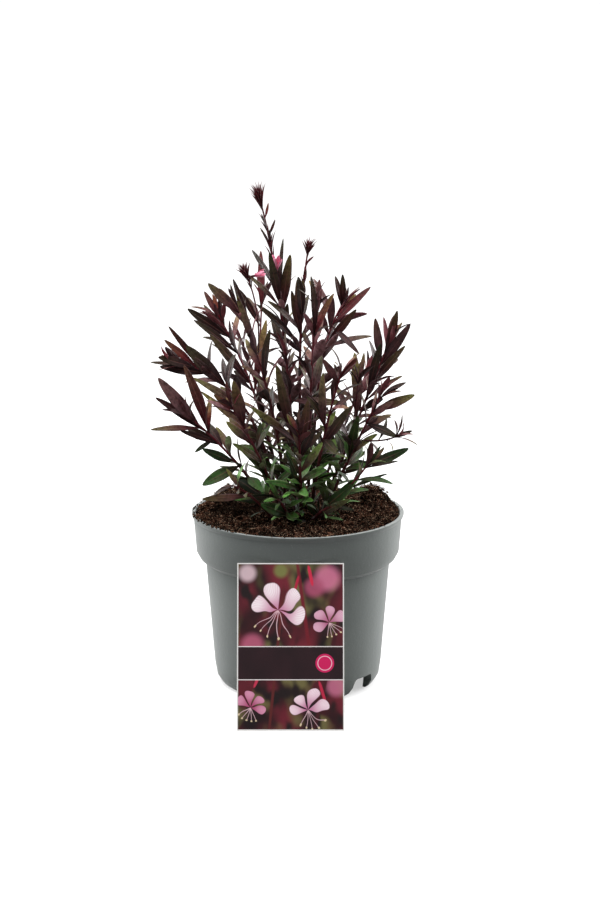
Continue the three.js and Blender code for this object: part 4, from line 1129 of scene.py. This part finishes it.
def add_buds(mesh, shoot, chance):
    """The crown of buds at the tip of a flowering stem, and those that lie close to the stem below it."""
    count, long, spread = shoot.plan["head"]
    along = shoot.curve.along(1)
    for i in range(3 * count):
        out = off(along, i * LEAF_TURN)
        late = i / (3 * count)
        heading = opened(along, out, (0.08 + 0.67 * spread) * (0.1 + 0.9 * math.sqrt(late)))
        base = shoot.curve.at(1) - along * (0.4 * long * late)
        reach = long * (1.1 + 0.3 * late) * chance.uniform(0.72, 1.08)
        sleeve(mesh, BUD_ROWS, BUD_SIDES, bud_shape(base, heading, out, reach, TOP_BUD_GIRTH), bud_paint)
    lowest = 0.68 if long > 12 else 0.8
    for i in range(round(90 * (0.98 - lowest) ** 1.3)):
        t = mix(lowest, 0.97, chance.uniform(0, 1))
        along = shoot.curve.along(t)
        out = off(along, i * LEAF_TURN)
        heading = unit(along + out * chance.uniform(0.08, 0.32))
        base = shoot.curve.at(t) + out * 0.4
        reach = long * chance.uniform(0.6, 1.05)
        sleeve(mesh, BUD_ROWS, BUD_SIDES, bud_shape(base, heading, out, reach, LOW_BUD_GIRTH), bud_paint)


def blade_lines(shade):
    """How far along the leaf a point is, from 0 to 1, and how far from its midrib, from 0 to a half."""
    along = shade.node("SeparateXYZ", {0: shade.node("UVMap")})
    return along, abs(shade.math("FRACT", along.other(1) * 2) - 0.5)


def leaf_colour(shade):
    where = shade.place()
    tint = shade.node("Attribute", attribute_name="tint")
    along, aside = blade_lines(shade)
    rib = aside.step(0.06, 0.015) * along.step(1.0, 0.4)
    edge = aside.step(0.38, 0.5)
    mottled = (where.noise(150, 3).step(0.45, 0.75) * 0.2).blend(tint, BLOTCH_RED)
    darker = (where.noise(300, 4, 0.65).step(0.4, 0.7) * 0.6).blend(mottled, SHADE_BLACK)
    return (edge * 0.3).blend((rib * 0.25).blend(darker, RIB_PINK), EDGE_DARK)


def leaf_relief(shade):
    along, aside = blade_lines(shade)
    veins = abs(shade.math("SINE", along * 46 - aside * 22)) ** 3
    return aside.step(0.09, 0.0) * 0.6 + veins * 0.25 + shade.place().noise(1500, 2) * 0.3


def leaf_gloss(shade):
    return 0.34 + shade.place().noise(90, 2) * 0.2


def rounded(made):
    rounder = made.modifiers.new("rounder", "SUBSURF")
    rounder.levels = rounder.render_levels = 1


leaf_finish = finish(
    "leaf", leaf_colour, rough=leaf_gloss, bump=leaf_relief, height=0.0003, Specular_IOR_Level=0.2
)
for count, name in enumerate(STEMS):
    mesh, leaves = bmesh.new(), bmesh.new()
    chance = np.random.default_rng(100 + count)
    low = STEMS[name].get("low", False)
    for shoot in [s for s in shoots if s.owner == name]:
        rows = max(6, round(shoot.curve.length() / STEM_STEP))
        sleeve(leaves, rows, 8, stem_shape(shoot), fade(STEM_BROWN, STEM_RED, 1.6))
        for blade in shoot.blades:
            height = blade.rib(0.5)[0][2]
            green = float(np.clip((220 - height) / 45 + chance.uniform(-0.45, 0.3), 0, 1))
            tip = blade.rib(1.0)[0]
            green = (0.9 if math.hypot(tip[0], tip[1]) < 70 else 0.2) if low else green
            young = float(np.clip((blade.share - 0.5) * 1.9, 0, 1)) * (1 - green)
            rows, sides = (12, 8) if blade.length > LONG_LEAF else (8, 6)
            sleeve(leaves, rows, sides, leaf_shape(blade), leaf_paint(green, young, chance))
            if len(leaves.faces) > BATCH_FACES:
                pour(mesh, leaves)
        if shoot.plan.get("head"):
            add_buds(leaves, shoot, chance)
    pour(mesh, leaves)
    rounded(piece("leafy_" + name, mesh, leaf_finish, name))

# Flowers
# Two half-open flowers, each grown from a flowering stem below its buds: a slim calyx tube and four thin
# spoon-shaped petals, with stamens like threads between them.

PETAL_PINK = srgb(230, 142, 170)
PETAL_DEEP = srgb(196, 70, 108)
PETAL_ROOT = 0.35
STAMENS, STAMEN_LENGTH, STAMEN_GIRTH, STAMEN_SPREAD = 6, 9, 0.22, 0.28

petal_paint = fade(PETAL_DEEP, PETAL_PINK, 1.8)
petal_finish = finish("petal", lambda shade: shade.node("Attribute", attribute_name="tint"), rough=0.5)
for name, (along, start, mouth, petals) in flowers.items():
    mesh = bmesh.new()

    def calyx(share, round_):
        girth = np.array([0.01, 0.75, 0.9, 1.1, 1.26, 0.01])[np.round(share * 5).astype(int)]
        out = off(along, round_ * 2 * math.pi)
        return start + along * (share * (CALYX_LENGTH + 0.6))[:, None] + out * girth[:, None]

    sleeve(mesh, 5, 8, calyx, one_tint(BUD_RED))
    for blade in petals:
        sleeve(mesh, 10, 8, leaf_shape(blade, PETAL_ROOT), petal_paint)
    for i in range(STAMENS):
        heading = unit(along + STAMEN_SPREAD * off(along, i * LEAF_TURN))
        stamen = bud_shape(mouth - heading, heading, heading, STAMEN_LENGTH, STAMEN_GIRTH)
        sleeve(mesh, 4, 4, stamen, petal_paint)
    rounded(piece("pink_" + name, mesh, petal_finish, name))

# Studio
# A pale floor that burns out to white, lit softly from above and from behind on both sides, with a darker
# room on the camera's side.


def seen_as(to_light, to_camera):
    """A grey that is one thing to the light that meets it and another to the camera."""
    return lambda shade: shade.node("LightPath").blend((to_light,) * 3, (to_camera,) * 3)


floor_mesh = bmesh.new()
bmesh.ops.create_grid(floor_mesh, x_segments=1, y_segments=1, size=40)
floor = body("floor", floor_mesh)
# It throws little light back on the pot, and glows to the camera alone, so that shadows on it stay pale.
glow = {"Emission_Color": seen_as(0, 1), "Emission_Strength": 0.5}
floor.data.materials.append(finish("floor", seen_as(0.22, 0.5), rough=0.9, Specular_IOR_Level=0.0, **glow))

world = bpy.data.worlds.new("studio")
bpy.context.scene.world = world
world.use_nodes = True
sky = Shade(world.node_tree)
background = world.node_tree.nodes["Background"]
direction = sky.node("SeparateXYZ", {0: sky.node("TexCoord")})
front, overhead = direction.other(1), direction.other(2)
strength = 0.15 + front.step(-0.6, 0.5) * 0.4 + front.step(0.3, 0.9) * 0.5 + overhead.step(0.5, 0.95) * 1.4
seen = sky.node("LightPath")
strength = seen + (1 - seen) * strength
world.node_tree.links.new(background.inputs["Strength"], strength.socket)
background.inputs["Color"].default_value = (1, 1, 1, 1)


def softbox(name, place, aim, size, power):
    light = bpy.data.objects.new(name, bpy.data.lights.new(name, "AREA"))
    light.data.size = size
    light.data.energy = power
    light.location = place
    light.rotation_euler = (Vector(aim) - Vector(place)).to_track_quat("-Z", "Y").to_euler()
    bpy.context.scene.collection.objects.link(light)


softbox("overhead", (-0.35, -0.45, 1.95), aim=(0, 0, 0.25), size=0.9, power=26)
for name, x, power in (("left", -1.5, 41), ("right", 1.5, 50)):
    softbox(name, (x, 0.85, 0.7), aim=(0, 0, 0.12), size=1.1, power=power)
bpy.context.scene.view_settings.view_transform = "Standard"
